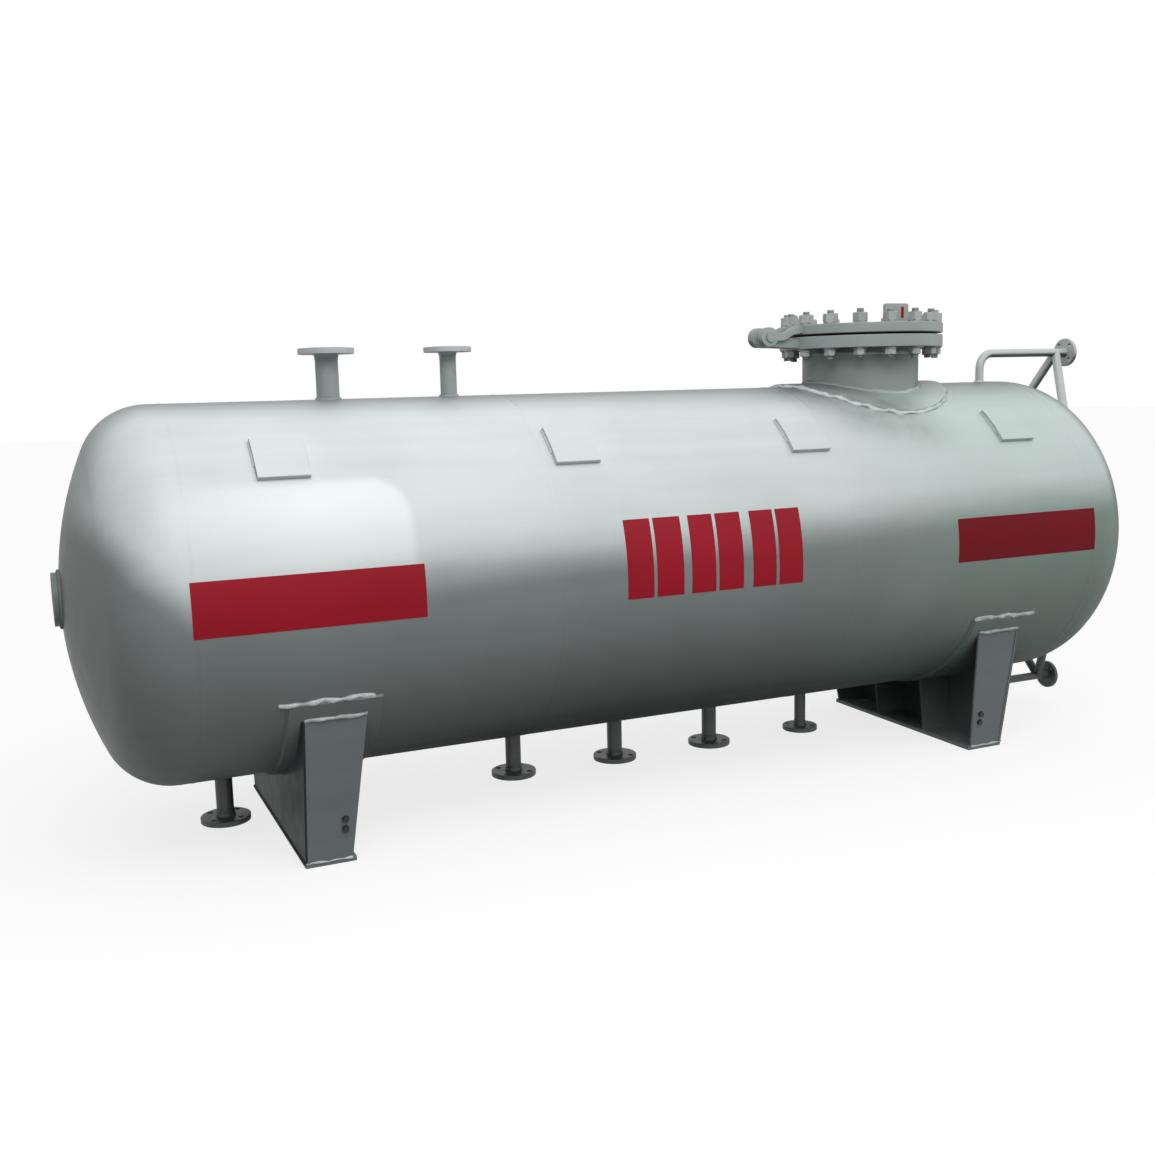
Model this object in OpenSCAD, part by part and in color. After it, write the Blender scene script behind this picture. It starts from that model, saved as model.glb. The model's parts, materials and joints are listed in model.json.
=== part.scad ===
// Horizontal storage vessel for liquefied gas: a welded cylindrical shell with
// dished heads, a bolted manhole, flanged nozzles and two welded saddles.
// +X runs along the shell towards the gauge end, +Z is up, and the origin lies
// on the ground below the middle of the whole outline.

/* [Shell] */
// Outside diameter of the shell
shell_d = 1224; // [900:2:1800]
// Plate thickness of the shell and both heads
shell_wall = 12; // [6:1:24]
// Length between the tangent lines of the two heads
tangent_len = 3464; // [3000:4:6000]
// Length of the middle shell course
mid_course = 1128; // [800:2:1600]
// Height of the underside of the shell above the ground
shell_low = 223; // [200:1:600]
// Straight skirt of each head
head_skirt = 40; // [25:1:60]
// Inside crown radius of each head
crown_r = 1180; // [900:5:1600]
// Inside knuckle radius of each head
knuckle_r = 204; // [120:1:260]
// Gap left at every round weld fit
fit = 0.3; // [0.1:0.1:1]

/* [Manhole] */
// Distance of the manhole axis from the right tangent line
man_end = 712; // [500:1:1000]
// Outside diameter of the neck
man_neck_d = 457; // [400:1:520]
// Wall of the neck
man_neck_wall = 14; // [8:1:24]
// Height of the sealing face above the shell crown
man_stand = 193; // [150:1:300]
// Width of flange and cover outside the neck
man_flange_w = 91.5; // [75:0.5:150]
// Thickness of the neck flange
man_flange_t = 50; // [30:1:70]
// Width of the raised sealing faces outside the neck
man_face_w = 39; // [20:1:60]
// Height of the raised sealing faces
man_face_h = 3; // [1:0.5:5]
// Growth of the tapered hub outside the neck
man_hub_w = 10; // [5:0.5:35]
// Height of the tapered hub
man_hub_h = 18; // [10:1:60]
// Thickness of the gasket
gasket_t = 4; // [2:0.5:8]
// Thickness of the cover
cover_t = 40; // [25:1:70]
// Diameter of the reinforcing pad around the neck
man_pad_d = 700; // [620:1:860]
// Shift of the reinforcing pad towards the vessel middle
man_pad_off = 20; // [0:1:60]
// Thickness of the reinforcing pad
man_pad_t = 12; // [6:1:20]

/* [Cover hinge] */
// Reach of the hinge pin beyond the flange rim
hinge_reach = 140; // [80:1:200]
// Drop of the hinge pin below the sealing face
hinge_drop = 2; // [0:1:20]
// Diameter of the hinge pin
hinge_pin_d = 28; // [16:1:40]
// Diameter of the round ear ends
hinge_eye_d = 76; // [50:1:100]
// Plate thickness of the ears
hinge_ear_t = 16; // [8:1:24]
// Height of the ear bars
hinge_bar = 32; // [20:1:50]
// Clear width between the two cover ears
hinge_gap = 72; // [50:1:120]
// Running clearance of the hinge parts
hinge_play = 1; // [0.5:0.1:3]
// Width of the upright lug on the cover
lug_w = 112; // [60:1:160]
// Height of the lug
lug_h = 72; // [40:1:100]
// Plate thickness of the lug
lug_t = 14; // [8:1:25]
// Radius of the upper corners of the lug
lug_r = 9; // [4:1:28]
// Distance of the lug from the rim of the cover
lug_in = 98; // [40:1:200]

/* [Large top nozzle] */
// Distance from the left tangent line
top1_end = 582; // [300:1:900]
// Pipe diameter
top1_pipe_d = 76; // [60:1:114]
// Pipe wall
top1_wall = 6; // [3:0.5:10]
// Flange diameter
top1_flange_d = 185; // [160:1:235]
// Flange thickness
top1_flange_t = 22; // [16:1:30]
// Bolt circle diameter
top1_pcd = 145; // [125:1:190]
// Bolt hole diameter
top1_hole_d = 18; // [14:1:22]

/* [Common nozzles] */
// Distance of the second top nozzle from the left tangent line
top2_end = 1006; // [700:1:1300]
// Height of the top flange faces above the shell crown
top_stand = 170; // [120:1:300]
// Drop of the bottom flange faces below the shell
bottom_stand = 174; // [120:1:190]
// First bottom nozzle from the left tangent line
bottom1_end = 158; // [120:1:260]
// Second bottom nozzle from the left tangent line
bottom2_end = 1202; // [1000:1:1400]
// Third bottom nozzle left of the vessel middle
bottom3_off = 112; // [40:1:200]
// Fourth bottom nozzle right of the vessel middle
bottom4_off = 306; // [200:1:500]
// Pipe diameter
noz_pipe_d = 57; // [42:1:76]
// Pipe wall
noz_wall = 5; // [3:0.5:10]
// Flange diameter
noz_flange_d = 165; // [140:1:185]
// Flange thickness
noz_flange_t = 20; // [14:1:28]
// Bolt circle diameter
noz_pcd = 125; // [100:1:145]
// Bolt hole diameter
noz_hole_d = 18; // [14:1:22]
// Height of the tapered flange hubs
hub_h = 16; // [10:1:40]
// Growth of the flange hubs over the pipe diameter
hub_grow = 8; // [4:1:30]
// Height of the raised faces
face_h = 2; // [1:0.5:4]
// Width of ring between the raised faces and the bolt holes
face_clear = 3; // [1:0.5:6]

/* [Drain nozzle] */
// Distance from the right tangent line
drain_end = 994; // [700:1:1200]
// Pipe diameter
drain_pipe_d = 45; // [32:1:57]
// Pipe wall
drain_wall = 4; // [3:0.5:8]
// Flange diameter
drain_flange_d = 140; // [120:1:165]
// Bolt circle diameter
drain_pcd = 100; // [90:1:125]

/* [Gauge connections] */
// Distance of the gauge pipes from the right tangent line
gauge_end = 90; // [70:1:250]
// Pipe diameter
gauge_pipe_d = 34; // [25:1:45]
// Pipe wall
gauge_wall = 4; // [3:0.5:6]
// Distance of the upper horizontal run from the shell
gauge_over = 118; // [90:1:200]
// Distance of the lower horizontal run from the shell
gauge_under = 100; // [90:1:200]
// Centre line radius of the bend
gauge_bend_r = 60; // [45:1:90]
// Reach of the upper flange face beyond the right head
gauge_reach = 100; // [60:1:200]
// Setback of the lower flange face from the upper
gauge_step = 41; // [0:1:60]
// Flange diameter
gauge_flange_d = 120; // [95:1:140]
// Flange thickness
gauge_flange_t = 18; // [14:1:24]
// Bolt circle diameter
gauge_pcd = 85; // [70:1:100]
// Bolt hole diameter
gauge_hole_d = 14; // [10:1:18]
// Diameter of the brace bars
brace_d = 36; // [12:1:44]
// Distance of the brace tops behind the hub of the gauge flange
brace_back = 32; // [24:1:90]
// Half spread of the brace feet
brace_spread = 192; // [140:1:260]
// Run of the braces back towards the shell
brace_run = 110; // [80:1:160]
// Height of the gauge run over the brace feet
brace_drop = 353; // [300:1:420]

/* [End boss] */
// Diameter of the boss in the left head
boss_d = 170; // [120:1:200]
// Stand of the boss face beyond the crown of the head
boss_stand = 20; // [10:1:40]
// Height of the boss over the middle of the head
boss_rise = 15; // [0:1:40]
// Bore of the boss
boss_bore_d = 50; // [30:1:80]
// Bolt circle of the boss
boss_pcd = 125; // [100:1:150]
// Diameter of the blind bolt holes
boss_hole_d = 16; // [10:1:20]
// Depth of the blind bolt holes
boss_hole_h = 24; // [15:1:30]

/* [Saddles] */
// Distance of each saddle web from the nearer tangent line
saddle_end = 329; // [250:1:600]
// Length of the base plates across the vessel
base_len = 880; // [700:2:1040]
// Width of the base plates along the vessel
base_w = 164; // [140:1:240]
// Thickness of the base plates
base_t = 16; // [8:1:24]
// Thickness of the webs and ribs
saddle_plate = 10; // [6:1:20]
// Width of the ribs at the base, web included
rib_foot = 152; // [110:1:160]
// Width of the ribs at the top, web included
rib_top = 200; // [150:1:260]
// Distance between the two inner ribs
inner_rib_gap = 300; // [160:2:420]
// Half angle that the web embraces, from straight down
saddle_half = 57; // [50:1:62]
// Half angle of the wear plate, from straight down
wear_half = 63; // [58:1:75]
// Width of the wear plates
wear_w = 288; // [220:2:360]
// Thickness of the wear plates
wear_t = 10; // [6:1:16]
// Distance of the anchor holes from the ends of the base
anchor_edge = 80; // [50:1:120]
// Diameter of the anchor holes
anchor_d = 24; // [18:1:36]
// Length of the sliding slots in the right base
slot_len = 60; // [40:1:90]
// Distance of the anchor holes from the outer edge of the base
anchor_in = 82; // [60:1:110]
// Diameter of the earthing holes in the outer ribs
earth_d = 13; // [8:1:18]
// Height of the lower earthing hole above the ground
earth_h = 118; // [60:1:250]
// Distance between the earthing holes
earth_gap = 34; // [24:1:60]

/* [Bracket pads] */
// Length of a pad along the vessel
pad_len = 158; // [100:1:240]
// Width of a pad around the shell
pad_w = 160; // [100:1:240]
// Thickness of a pad
pad_t = 16; // [8:1:24]
// Angle of the pad middles above the horizontal
pad_angle = 46.5; // [30:0.5:60]
// Distance of the outer pads from the tangent lines
pad_end = 327; // [200:1:500]
// Distance of the inner pads from the vessel middle
pad_mid = 454; // [250:1:700]

/* [Hidden] */
$fn = 96;
shell_r = shell_d / 2;
bore_r = shell_r - shell_wall;
axis_h = shell_low + shell_r;
half_len = tangent_len / 2;
head_out = dish_h(shell_r, knuckle_r + shell_wall, crown_r + shell_wall);
left_x = -half_len - head_out - boss_stand;
right_x = half_len + head_out + gauge_reach;
mid_x = (left_x + right_x) / 2;
shell_end = half_len - head_skirt;
man_x = half_len - man_end;
man_pad_x = man_x - man_pad_off;
man_flange_d = man_neck_d + 2 * man_flange_w;
man_face_d = man_neck_d + 2 * man_face_w;
man_hub_d = man_neck_d + 2 * man_hub_w;
lug_off = man_flange_d / 2 - lug_in;
top1_x = -half_len + top1_end;
top2_x = -half_len + top2_end;
drain_x = half_len - drain_end;
gauge_x = half_len - gauge_end;
gauge_rise = shell_r + gauge_over;
gauge_fall = shell_r + gauge_under;
boss_z = axis_h + boss_rise;
bottom_x = [-half_len + bottom1_end, -half_len + bottom2_end, -bottom3_off, bottom4_off, drain_x];
man_face_z = axis_h + shell_r + man_stand;
cover_z = man_face_z + gasket_t;
hinge_x = man_x - man_flange_d / 2 - hinge_reach;
hinge_z = man_face_z - hinge_drop;
wear_r = shell_r + fit + wear_t;
seat_r = wear_r + fit;
anchor_gap = base_len - 2 * anchor_edge;
horn_y = seat_r * sin(saddle_half);
horn_z = axis_h - seat_r * cos(saddle_half);
rib_high = horn_z + saddle_plate;
steel = [0.62, 0.65, 0.65];
dark_steel = [0.32, 0.34, 0.34];
saddle_grey = [0.40, 0.43, 0.44];

// Outside depth of a dished head from its radius, knuckle and crown
function dish_h(r, rk, rc) = rc - sqrt(pow(rc - rk, 2) - pow(r - rk, 2));

// Sagitta of a hole of radius r in a cylinder of radius big
function sag(r, big) = big - sqrt(big * big - r * r);

// Shifts the vessel so that the origin lies below the middle of its outline
module placed() {
    translate([-mid_x, 0, 0]) children();
}

// Half section of a dished head: skirt, knuckle arc and crown arc, all tangent
module dish_section(r, rk, rc, skirt) {
    h = dish_h(r, rk, rc);
    kx = r - rk;
    lean = kx / (rc - h);
    translate([0, -skirt]) square([r, skirt]);
    intersection() {
        translate([0, h - rc]) circle(r = rc, $fn = 360);
        polygon([[0, 0], [kx, 0], [kx + lean * 2 * h, 2 * h], [0, 2 * h]]);
    }
    intersection() {
        translate([kx, 0]) circle(r = rk, $fn = 180);
        square([r, rk]);
    }
}

// Solid filled head, grown by a gap, for trimming what is welded onto it
module head_body(gap) {
    rotate_extrude($fn = 180)
        dish_section(shell_r + gap, knuckle_r + shell_wall + gap, crown_r + shell_wall + gap, head_skirt);
}

// Pressed head plate of even thickness
module head_plate() {
    rotate_extrude($fn = 180) difference() {
        dish_section(shell_r, knuckle_r + shell_wall, crown_r + shell_wall, head_skirt);
        dish_section(bore_r, knuckle_r, crown_r, head_skirt + 1);
    }
}

// Radial hole through the top (up = 1) or bottom (up = -1) of the shell
module shell_hole(x, d, up) {
    translate([x, 0, axis_h]) rotate([up > 0 ? 0 : 180, 0, 0]) cylinder(h = 2 * shell_r, d = d + 2 * fit);
}

// Every hole that the necks and pipes pass through
module shell_holes() {
    shell_hole(top1_x, top1_pipe_d, 1);
    shell_hole(top2_x, noz_pipe_d, 1);
    shell_hole(man_x, man_neck_d, 1);
    shell_hole(gauge_x, gauge_pipe_d, 1);
    for (i = [0:3]) shell_hole(bottom_x[i], noz_pipe_d, -1);
    shell_hole(drain_x, drain_pipe_d, -1);
    shell_hole(gauge_x, gauge_pipe_d, -1);
}

// Length of pipe along X round the shell axis
module along_shell(x0, x1, r, $fn = 180) {
    translate([x0, 0, axis_h]) rotate([0, 90, 0]) cylinder(h = x1 - x0, r = r);
}

// One rolled course of the shell with its holes
module course(x0, x1) {
    difference() {
        along_shell(x0, x1, shell_r);
        along_shell(x0 - 1, x1 + 1, bore_r);
        shell_holes();
    }
}

// Set-in neck from the inside of the shell out to the flange hub
module neck(x, d, wall, stand, up) {
    start = bore_r - sag(d / 2, bore_r) - 5;
    difference() {
        translate([x, 0, axis_h]) rotate([up > 0 ? 0 : 180, 0, 0]) difference() {
            translate([0, 0, start]) cylinder(h = shell_r + stand - start, d = d);
            cylinder(h = shell_r + stand + 1, d = d - 2 * wall);
        }
        along_shell(x - d, x + d, bore_r);
    }
}

// Weld neck flange: face up at z = 0, tapered hub below, holes on a circle
module flange(d, t, pcd, hole_d, count, pipe_d, wall, grow, hub) {
    bore = pipe_d / 2 - wall;
    face_r = pcd / 2 - hole_d / 2 - face_clear;
    difference() {
        rotate_extrude() polygon([
            [bore, -t - hub], [pipe_d / 2, -t - hub], [pipe_d / 2 + grow / 2, -t], [d / 2, -t],
            [d / 2, -face_h], [face_r, -face_h], [face_r, 0], [bore, 0]
        ]);
        for (i = [0:count - 1]) rotate([0, 0, (i + 0.5) * 360 / count])
            translate([pcd / 2, 0, -t - 1]) cylinder(h = t + 2, d = hole_d, $fn = 32);
    }
}

// Nozzle flange on the top or bottom of the shell
module nozzle_flange(x, stand, up, d, t, pcd, hole_d, count, pipe_d, wall) {
    translate([x, 0, axis_h + up * (shell_r + stand)]) rotate([up > 0 ? 0 : 180, 0, 0])
        flange(d, t, pcd, hole_d, count, pipe_d, wall, hub_grow, hub_h);
}

// Common top or bottom flange
module common_flange(x, stand, up) {
    nozzle_flange(x, stand, up, noz_flange_d, noz_flange_t, noz_pcd, noz_hole_d, 4, noz_pipe_d, noz_wall);
}

// Length of neck below a flange: stand less flange and hub
function neck_stand(stand, t) = stand - t - hub_h;

// Rolled plate lying on the shell between two X positions
module rolled_plate(x0, x1, t) {
    difference() {
        along_shell(x0, x1, shell_r + fit + t);
        along_shell(x0 - 1, x1 + 1, shell_r + fit);
    }
}

// Distance of a gauge run from the shell axis, above (up = 1) or below (up = -1)
function gauge_off(up) = up > 0 ? gauge_rise : gauge_fall;

// Place of a gauge flange face along the vessel
function gauge_face_x(up) = up > 0 ? right_x : right_x - gauge_step;

// Bent gauge pipe solid: rise, bend and horizontal run, of radius r
module gauge_run(up, r, extra) {
    start = bore_r - 8;
    off = gauge_off(up);
    run_x = gauge_face_x(up) - gauge_flange_t - hub_h;
    translate([gauge_x, 0, start - extra]) cylinder(h = off - gauge_bend_r - start + extra, r = r, $fn = 48);
    translate([gauge_x + gauge_bend_r, 0, off - gauge_bend_r]) rotate([90, 0, 0]) rotate([0, 0, 90])
        rotate_extrude(angle = 90) translate([gauge_bend_r, 0]) circle(r = r, $fn = 48);
    translate([gauge_x + gauge_bend_r, 0, off]) rotate([0, 90, 0])
        cylinder(h = run_x - gauge_x - gauge_bend_r + extra, r = r, $fn = 48);
}

// Gauge pipe on the top (up = 1) or mirrored below (up = -1)
module gauge_pipe(up) {
    translate([0, 0, axis_h]) mirror([0, 0, up > 0 ? 0 : 1]) difference() {
        gauge_run(up, gauge_pipe_d / 2, 0);
        gauge_run(up, gauge_pipe_d / 2 - gauge_wall, 1);
        translate([gauge_x - gauge_pipe_d, 0, 0]) rotate([0, 90, 0])
            cylinder(h = 2 * gauge_pipe_d, r = bore_r, $fn = 180);
    }
}

// Gauge flange facing along the vessel
module gauge_flange(up) {
    translate([gauge_face_x(up), 0, axis_h + up * gauge_off(up)]) rotate([0, 90, 0])
        flange(gauge_flange_d, gauge_flange_t, gauge_pcd, gauge_hole_d, 4, gauge_pipe_d, gauge_wall,
            hub_grow, hub_h);
}

// Pair of brace bars from the gauge pipe to the head, trimmed to both
module gauge_braces(up) {
    off = gauge_off(up);
    brace_x = gauge_face_x(up) - gauge_flange_t - hub_h - brace_back;
    span = norm([brace_run, brace_spread, brace_drop]);
    turn = [0, 180 - acos(brace_drop / span), atan2(brace_spread, -brace_run)];
    translate([0, 0, axis_h]) mirror([0, 0, up > 0 ? 0 : 1]) for (s = [0, 1]) mirror([0, s, 0]) difference() {
        translate([brace_x, 0, off]) rotate(turn)
            translate([0, 0, gauge_pipe_d / 4]) cylinder(h = span + brace_d, d = brace_d, $fn = 32);
        translate([gauge_x, 0, off]) rotate([0, 90, 0])
            cylinder(h = right_x - gauge_x, r = gauge_pipe_d / 2 + fit, $fn = 48);
        translate([half_len, 0, 0]) rotate([0, 90, 0]) head_body(fit);
        translate([gauge_x, -span, off - span]) cube([2 * span, span + fit, 2 * span]);
    }
}

// Profile of a saddle across the vessel, cut to the wear plate
module saddle_outline() {
    polygon([
        [-base_len / 2, base_t], [base_len / 2, base_t],
        [horn_y, horn_z], [-horn_y, horn_z]
    ]);
}

// Puts a saddle with its web at the outer side: side is -1 left, 1 right
module saddle_at(side) {
    translate([side * (half_len - saddle_end), 0, 0]) mirror([side > 0 ? 1 : 0, 0, 0]) children();
}

// Flat base plate; the right one has slots along the vessel
module base_plate(side) {
    saddle_at(side) difference() {
        translate([0, -base_len / 2, 0]) cube([base_w, base_len, base_t]);
        for (s = [-1, 1]) translate([anchor_in, s * anchor_gap / 2, -1]) {
            if (side < 0) cylinder(h = base_t + 2, d = anchor_d, $fn = 32);
            if (side > 0) {
                for (e = [-1, 1]) translate([e * (slot_len - anchor_d) / 2, 0, 0])
                    cylinder(h = base_t + 2, d = anchor_d, $fn = 32);
                translate([-(slot_len - anchor_d) / 2, -anchor_d / 2, 0])
                    cube([slot_len - anchor_d, anchor_d, base_t + 2]);
            }
        }
    }
}

// Upright web plate with the round seat cut from its top
module web(side) {
    difference() {
        saddle_at(side) rotate([90, 0, 90]) linear_extrude(saddle_plate) saddle_outline();
        along_shell(-half_len, half_len, seat_r);
    }
}

// Side view of a rib: upright at the web, sloping out at the free edge
module rib_side() {
    slope = (rib_top - rib_foot) / (horn_z - base_t);
    polygon([
        [saddle_plate, base_t], [rib_foot, base_t],
        [rib_foot + slope * (rib_high - base_t), rib_high], [saddle_plate, rib_high]
    ]);
}

// Outer ribs lean with the ends of the web, inner ribs stand upright
module ribs(side) {
    lean = (horn_y - base_len / 2) / (horn_z - base_t);
    top_y = base_len / 2 + lean * (rib_high - base_t);
    difference() {
        saddle_at(side) for (s = [0, 1]) mirror([0, s, 0]) {
            intersection() {
                translate([0, base_len, 0]) rotate([90, 0, 0]) linear_extrude(base_len) rib_side();
                rotate([90, 0, 90]) linear_extrude(2 * rib_top) polygon([
                    [base_len / 2 - saddle_plate, base_t], [base_len / 2, base_t],
                    [top_y, rib_high], [top_y - saddle_plate, rib_high]
                ]);
            }
            translate([0, inner_rib_gap / 2 + saddle_plate / 2, 0]) rotate([90, 0, 0])
                linear_extrude(saddle_plate) rib_side();
        }
        along_shell(-half_len, half_len, seat_r);
        saddle_at(side) for (k = [0, 1])
            translate([rib_foot - 24, -base_len, earth_h + k * earth_gap]) rotate([-90, 0, 0])
                cylinder(h = 2 * base_len, d = earth_d, $fn = 32);
    }
}

// Rolled wear plate between the shell and the web
module wear_plate(side) {
    x0 = (rib_top - wear_w) / 2;
    intersection() {
        saddle_at(side) translate([x0, 0, axis_h]) rotate([90, 0, 90]) linear_extrude(wear_w) polygon([
            [0, 0], [shell_d * sin(wear_half), -shell_d * cos(wear_half)], [shell_d, -2 * shell_d],
            [-shell_d, -2 * shell_d], [-shell_d * sin(wear_half), -shell_d * cos(wear_half)]
        ]);
        rolled_plate(-half_len, half_len, wear_t);
    }
}

// Row of rolled pads on the upper side of the shell: side is -1 front, 1 rear
module bracket_pads(side) {
    for (x = [-half_len + pad_end, -pad_mid, pad_mid, half_len - pad_end]) intersection() {
        rolled_plate(x - pad_len / 2, x + pad_len / 2, pad_t);
        translate([x, 0, axis_h]) rotate([side * pad_angle, 0, 0])
            translate([-pad_len, side > 0 ? shell_r / 2 : -2 * shell_r, -pad_w / 2])
                cube([2 * pad_len, 1.5 * shell_r, pad_w]);
    }
}

// Cranked ear bar in side view, from the round eye to the cover rim
module cover_ear_side() {
    rim = hinge_reach + 30;
    eye = hinge_z - cover_z;
    difference() {
        union() {
            circle(d = hinge_eye_d, $fn = 64);
            translate([0, -hinge_bar / 2]) square([hinge_reach * 0.45, hinge_bar]);
            polygon([
                [hinge_reach * 0.45, -hinge_bar / 2], [hinge_reach * 0.8, -eye + 4],
                [rim, -eye + 4], [rim, -eye + cover_t - 4], [hinge_reach * 0.75, -eye + cover_t - 4],
                [hinge_reach * 0.45, hinge_bar / 2]
            ]);
        }
        circle(d = hinge_pin_d + 2 * fit, $fn = 64);
    }
}

// Straight ear bar in side view, from the eye down to the neck flange rim
module flange_ear_side() {
    rim = hinge_reach + 30;
    drop = man_face_z - hinge_z;
    difference() {
        union() {
            circle(d = hinge_eye_d, $fn = 64);
            polygon([
                [0, -hinge_eye_d / 2], [rim, drop - man_flange_t + 4], [rim, drop - man_face_h - 4],
                [0, drop - man_face_h - 4]
            ]);
        }
        circle(d = hinge_pin_d + 2 * fit, $fn = 64);
    }
}

module shell_course_left() {
    color(steel) placed() course(-shell_end, -mid_course / 2);
}

module shell_course_mid() {
    color(steel) placed() course(-mid_course / 2, mid_course / 2);
}

module shell_course_right() {
    color(steel) placed() course(mid_course / 2, shell_end);
}

module head_left() {
    color(steel) placed() difference() {
        translate([-half_len, 0, axis_h]) rotate([0, -90, 0]) head_plate();
        translate([left_x - 1, 0, boss_z]) rotate([0, 90, 0]) cylinder(h = head_out, d = boss_d + 2 * fit);
    }
}

module head_right() {
    color(steel) placed() translate([half_len, 0, axis_h]) rotate([0, 90, 0]) head_plate();
}

// Round boss let into the left head, with blind bolt holes in its face
module end_boss() {
    depth = boss_stand + shell_wall + sag(boss_d / 2 + boss_rise, crown_r);
    color(steel) placed() translate([left_x, 0, boss_z]) rotate([0, 90, 0]) difference() {
        cylinder(h = depth, d = boss_d);
        translate([0, 0, -1]) cylinder(h = depth + 2, d = boss_bore_d);
        for (i = [0:3]) rotate([0, 0, 45 + i * 90]) translate([boss_pcd / 2, 0, -1])
            cylinder(h = boss_hole_h + 1, d = boss_hole_d, $fn = 32);
    }
}

module manhole_pad() {
    color(steel) placed() intersection() {
        difference() {
            rolled_plate(man_pad_x - man_pad_d, man_pad_x + man_pad_d, man_pad_t);
            shell_hole(man_x, man_neck_d, 1);
        }
        translate([man_pad_x, 0, axis_h]) cylinder(h = 2 * shell_r, d = man_pad_d);
    }
}

module manhole_neck() {
    color(steel) placed()
        neck(man_x, man_neck_d, man_neck_wall, man_stand - man_flange_t - man_hub_h, 1);
}

module manhole_flange() {
    bore = man_neck_d / 2 - man_neck_wall;
    color(steel) placed() translate([man_x, 0, man_face_z]) rotate_extrude() polygon([
        [bore, -man_flange_t - man_hub_h], [man_neck_d / 2, -man_flange_t - man_hub_h],
        [man_hub_d / 2, -man_flange_t], [man_flange_d / 2, -man_flange_t],
        [man_flange_d / 2, -man_face_h], [man_face_d / 2, -man_face_h], [man_face_d / 2, 0], [bore, 0]
    ]);
}

module manhole_gasket() {
    bore = man_neck_d / 2 - man_neck_wall;
    color([0.12, 0.12, 0.12]) placed() translate([man_x, 0, man_face_z]) difference() {
        cylinder(h = gasket_t, d = man_face_d);
        translate([0, 0, -1]) cylinder(h = gasket_t + 2, r = bore);
    }
}

module manhole_cover() {
    color(steel) placed() translate([man_x, 0, cover_z]) {
        cylinder(h = man_face_h, d = man_face_d);
        translate([0, 0, man_face_h]) cylinder(h = cover_t - man_face_h, d = man_flange_d);
    }
}

// Two cranked ears on the rim of the cover
module cover_ears() {
    color(steel) placed() difference() {
        for (s = [-1, 1]) translate([hinge_x, s * (hinge_gap + hinge_ear_t) / 2, hinge_z])
            rotate([90, 0, 0]) translate([0, 0, -hinge_ear_t / 2])
                linear_extrude(hinge_ear_t) cover_ear_side();
        translate([man_x, 0, hinge_z - man_flange_d / 2]) cylinder(h = man_flange_d, d = man_flange_d + 2 * fit);
    }
}

// Two ears on the rim of the neck flange, standing between those of the cover
module flange_ears() {
    off = hinge_gap / 2 - hinge_play - hinge_ear_t / 2;
    color(steel) placed() difference() {
        for (s = [-1, 1]) translate([hinge_x, s * off, hinge_z])
            rotate([90, 0, 0]) translate([0, 0, -hinge_ear_t / 2])
                linear_extrude(hinge_ear_t) flange_ear_side();
        translate([man_x, 0, hinge_z - man_flange_d / 2]) cylinder(h = man_flange_d, d = man_flange_d + 2 * fit);
    }
}

module hinge_pin() {
    len = hinge_gap + 2 * hinge_ear_t + 16;
    color(dark_steel) placed() translate([hinge_x, len / 2, hinge_z]) rotate([90, 0, 0])
        cylinder(h = len, d = hinge_pin_d, $fn = 64);
}

// Upright plate lug with rounded upper corners
module cover_lug() {
    color(steel) placed() translate([man_x, -lug_off + lug_t / 2, cover_z + cover_t]) rotate([90, 0, 0])
        linear_extrude(lug_t) {
            translate([-lug_w / 2, 0]) square([lug_w, lug_h - lug_r]);
            translate([lug_r - lug_w / 2, 0]) square([lug_w - 2 * lug_r, lug_h]);
            for (s = [-1, 1]) translate([s * (lug_w / 2 - lug_r), lug_h - lug_r]) circle(r = lug_r, $fn = 64);
        }
}

module top_neck_1() {
    color(steel) placed() neck(top1_x, top1_pipe_d, top1_wall, neck_stand(top_stand, top1_flange_t), 1);
}

module top_flange_1() {
    color(steel) placed() nozzle_flange(top1_x, top_stand, 1, top1_flange_d, top1_flange_t, top1_pcd,
        top1_hole_d, 8, top1_pipe_d, top1_wall);
}

module top_neck_2() {
    color(steel) placed() neck(top2_x, noz_pipe_d, noz_wall, neck_stand(top_stand, noz_flange_t), 1);
}

module top_flange_2() {
    color(steel) placed() common_flange(top2_x, top_stand, 1);
}

module bottom_neck(i) {
    color(dark_steel) placed() neck(bottom_x[i], noz_pipe_d, noz_wall, neck_stand(bottom_stand, noz_flange_t), -1);
}

module bottom_flange(i) {
    color(dark_steel) placed() common_flange(bottom_x[i], bottom_stand, -1);
}

module drain_neck() {
    color(dark_steel) placed() neck(drain_x, drain_pipe_d, drain_wall, neck_stand(bottom_stand, noz_flange_t), -1);
}

module drain_flange() {
    color(dark_steel) placed() nozzle_flange(drain_x, bottom_stand, -1, drain_flange_d, noz_flange_t, drain_pcd,
        noz_hole_d, 4, drain_pipe_d, drain_wall);
}

module gauge_pipe_upper() {
    color(steel) placed() gauge_pipe(1);
}

module gauge_flange_upper() {
    color(steel) placed() gauge_flange(1);
}

module gauge_braces_upper() {
    color(steel) placed() gauge_braces(1);
}

module gauge_pipe_lower() {
    color(dark_steel) placed() gauge_pipe(-1);
}

module gauge_flange_lower() {
    color(dark_steel) placed() gauge_flange(-1);
}

module gauge_braces_lower() {
    color(dark_steel) placed() gauge_braces(-1);
}

module left_base_plate() {
    color(saddle_grey) placed() base_plate(-1);
}

module left_web() {
    color(saddle_grey) placed() web(-1);
}

module left_ribs() {
    color(saddle_grey) placed() ribs(-1);
}

module left_wear_plate() {
    color(saddle_grey) placed() wear_plate(-1);
}

module right_base_plate() {
    color(saddle_grey) placed() base_plate(1);
}

module right_web() {
    color(saddle_grey) placed() web(1);
}

module right_ribs() {
    color(saddle_grey) placed() ribs(1);
}

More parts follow.
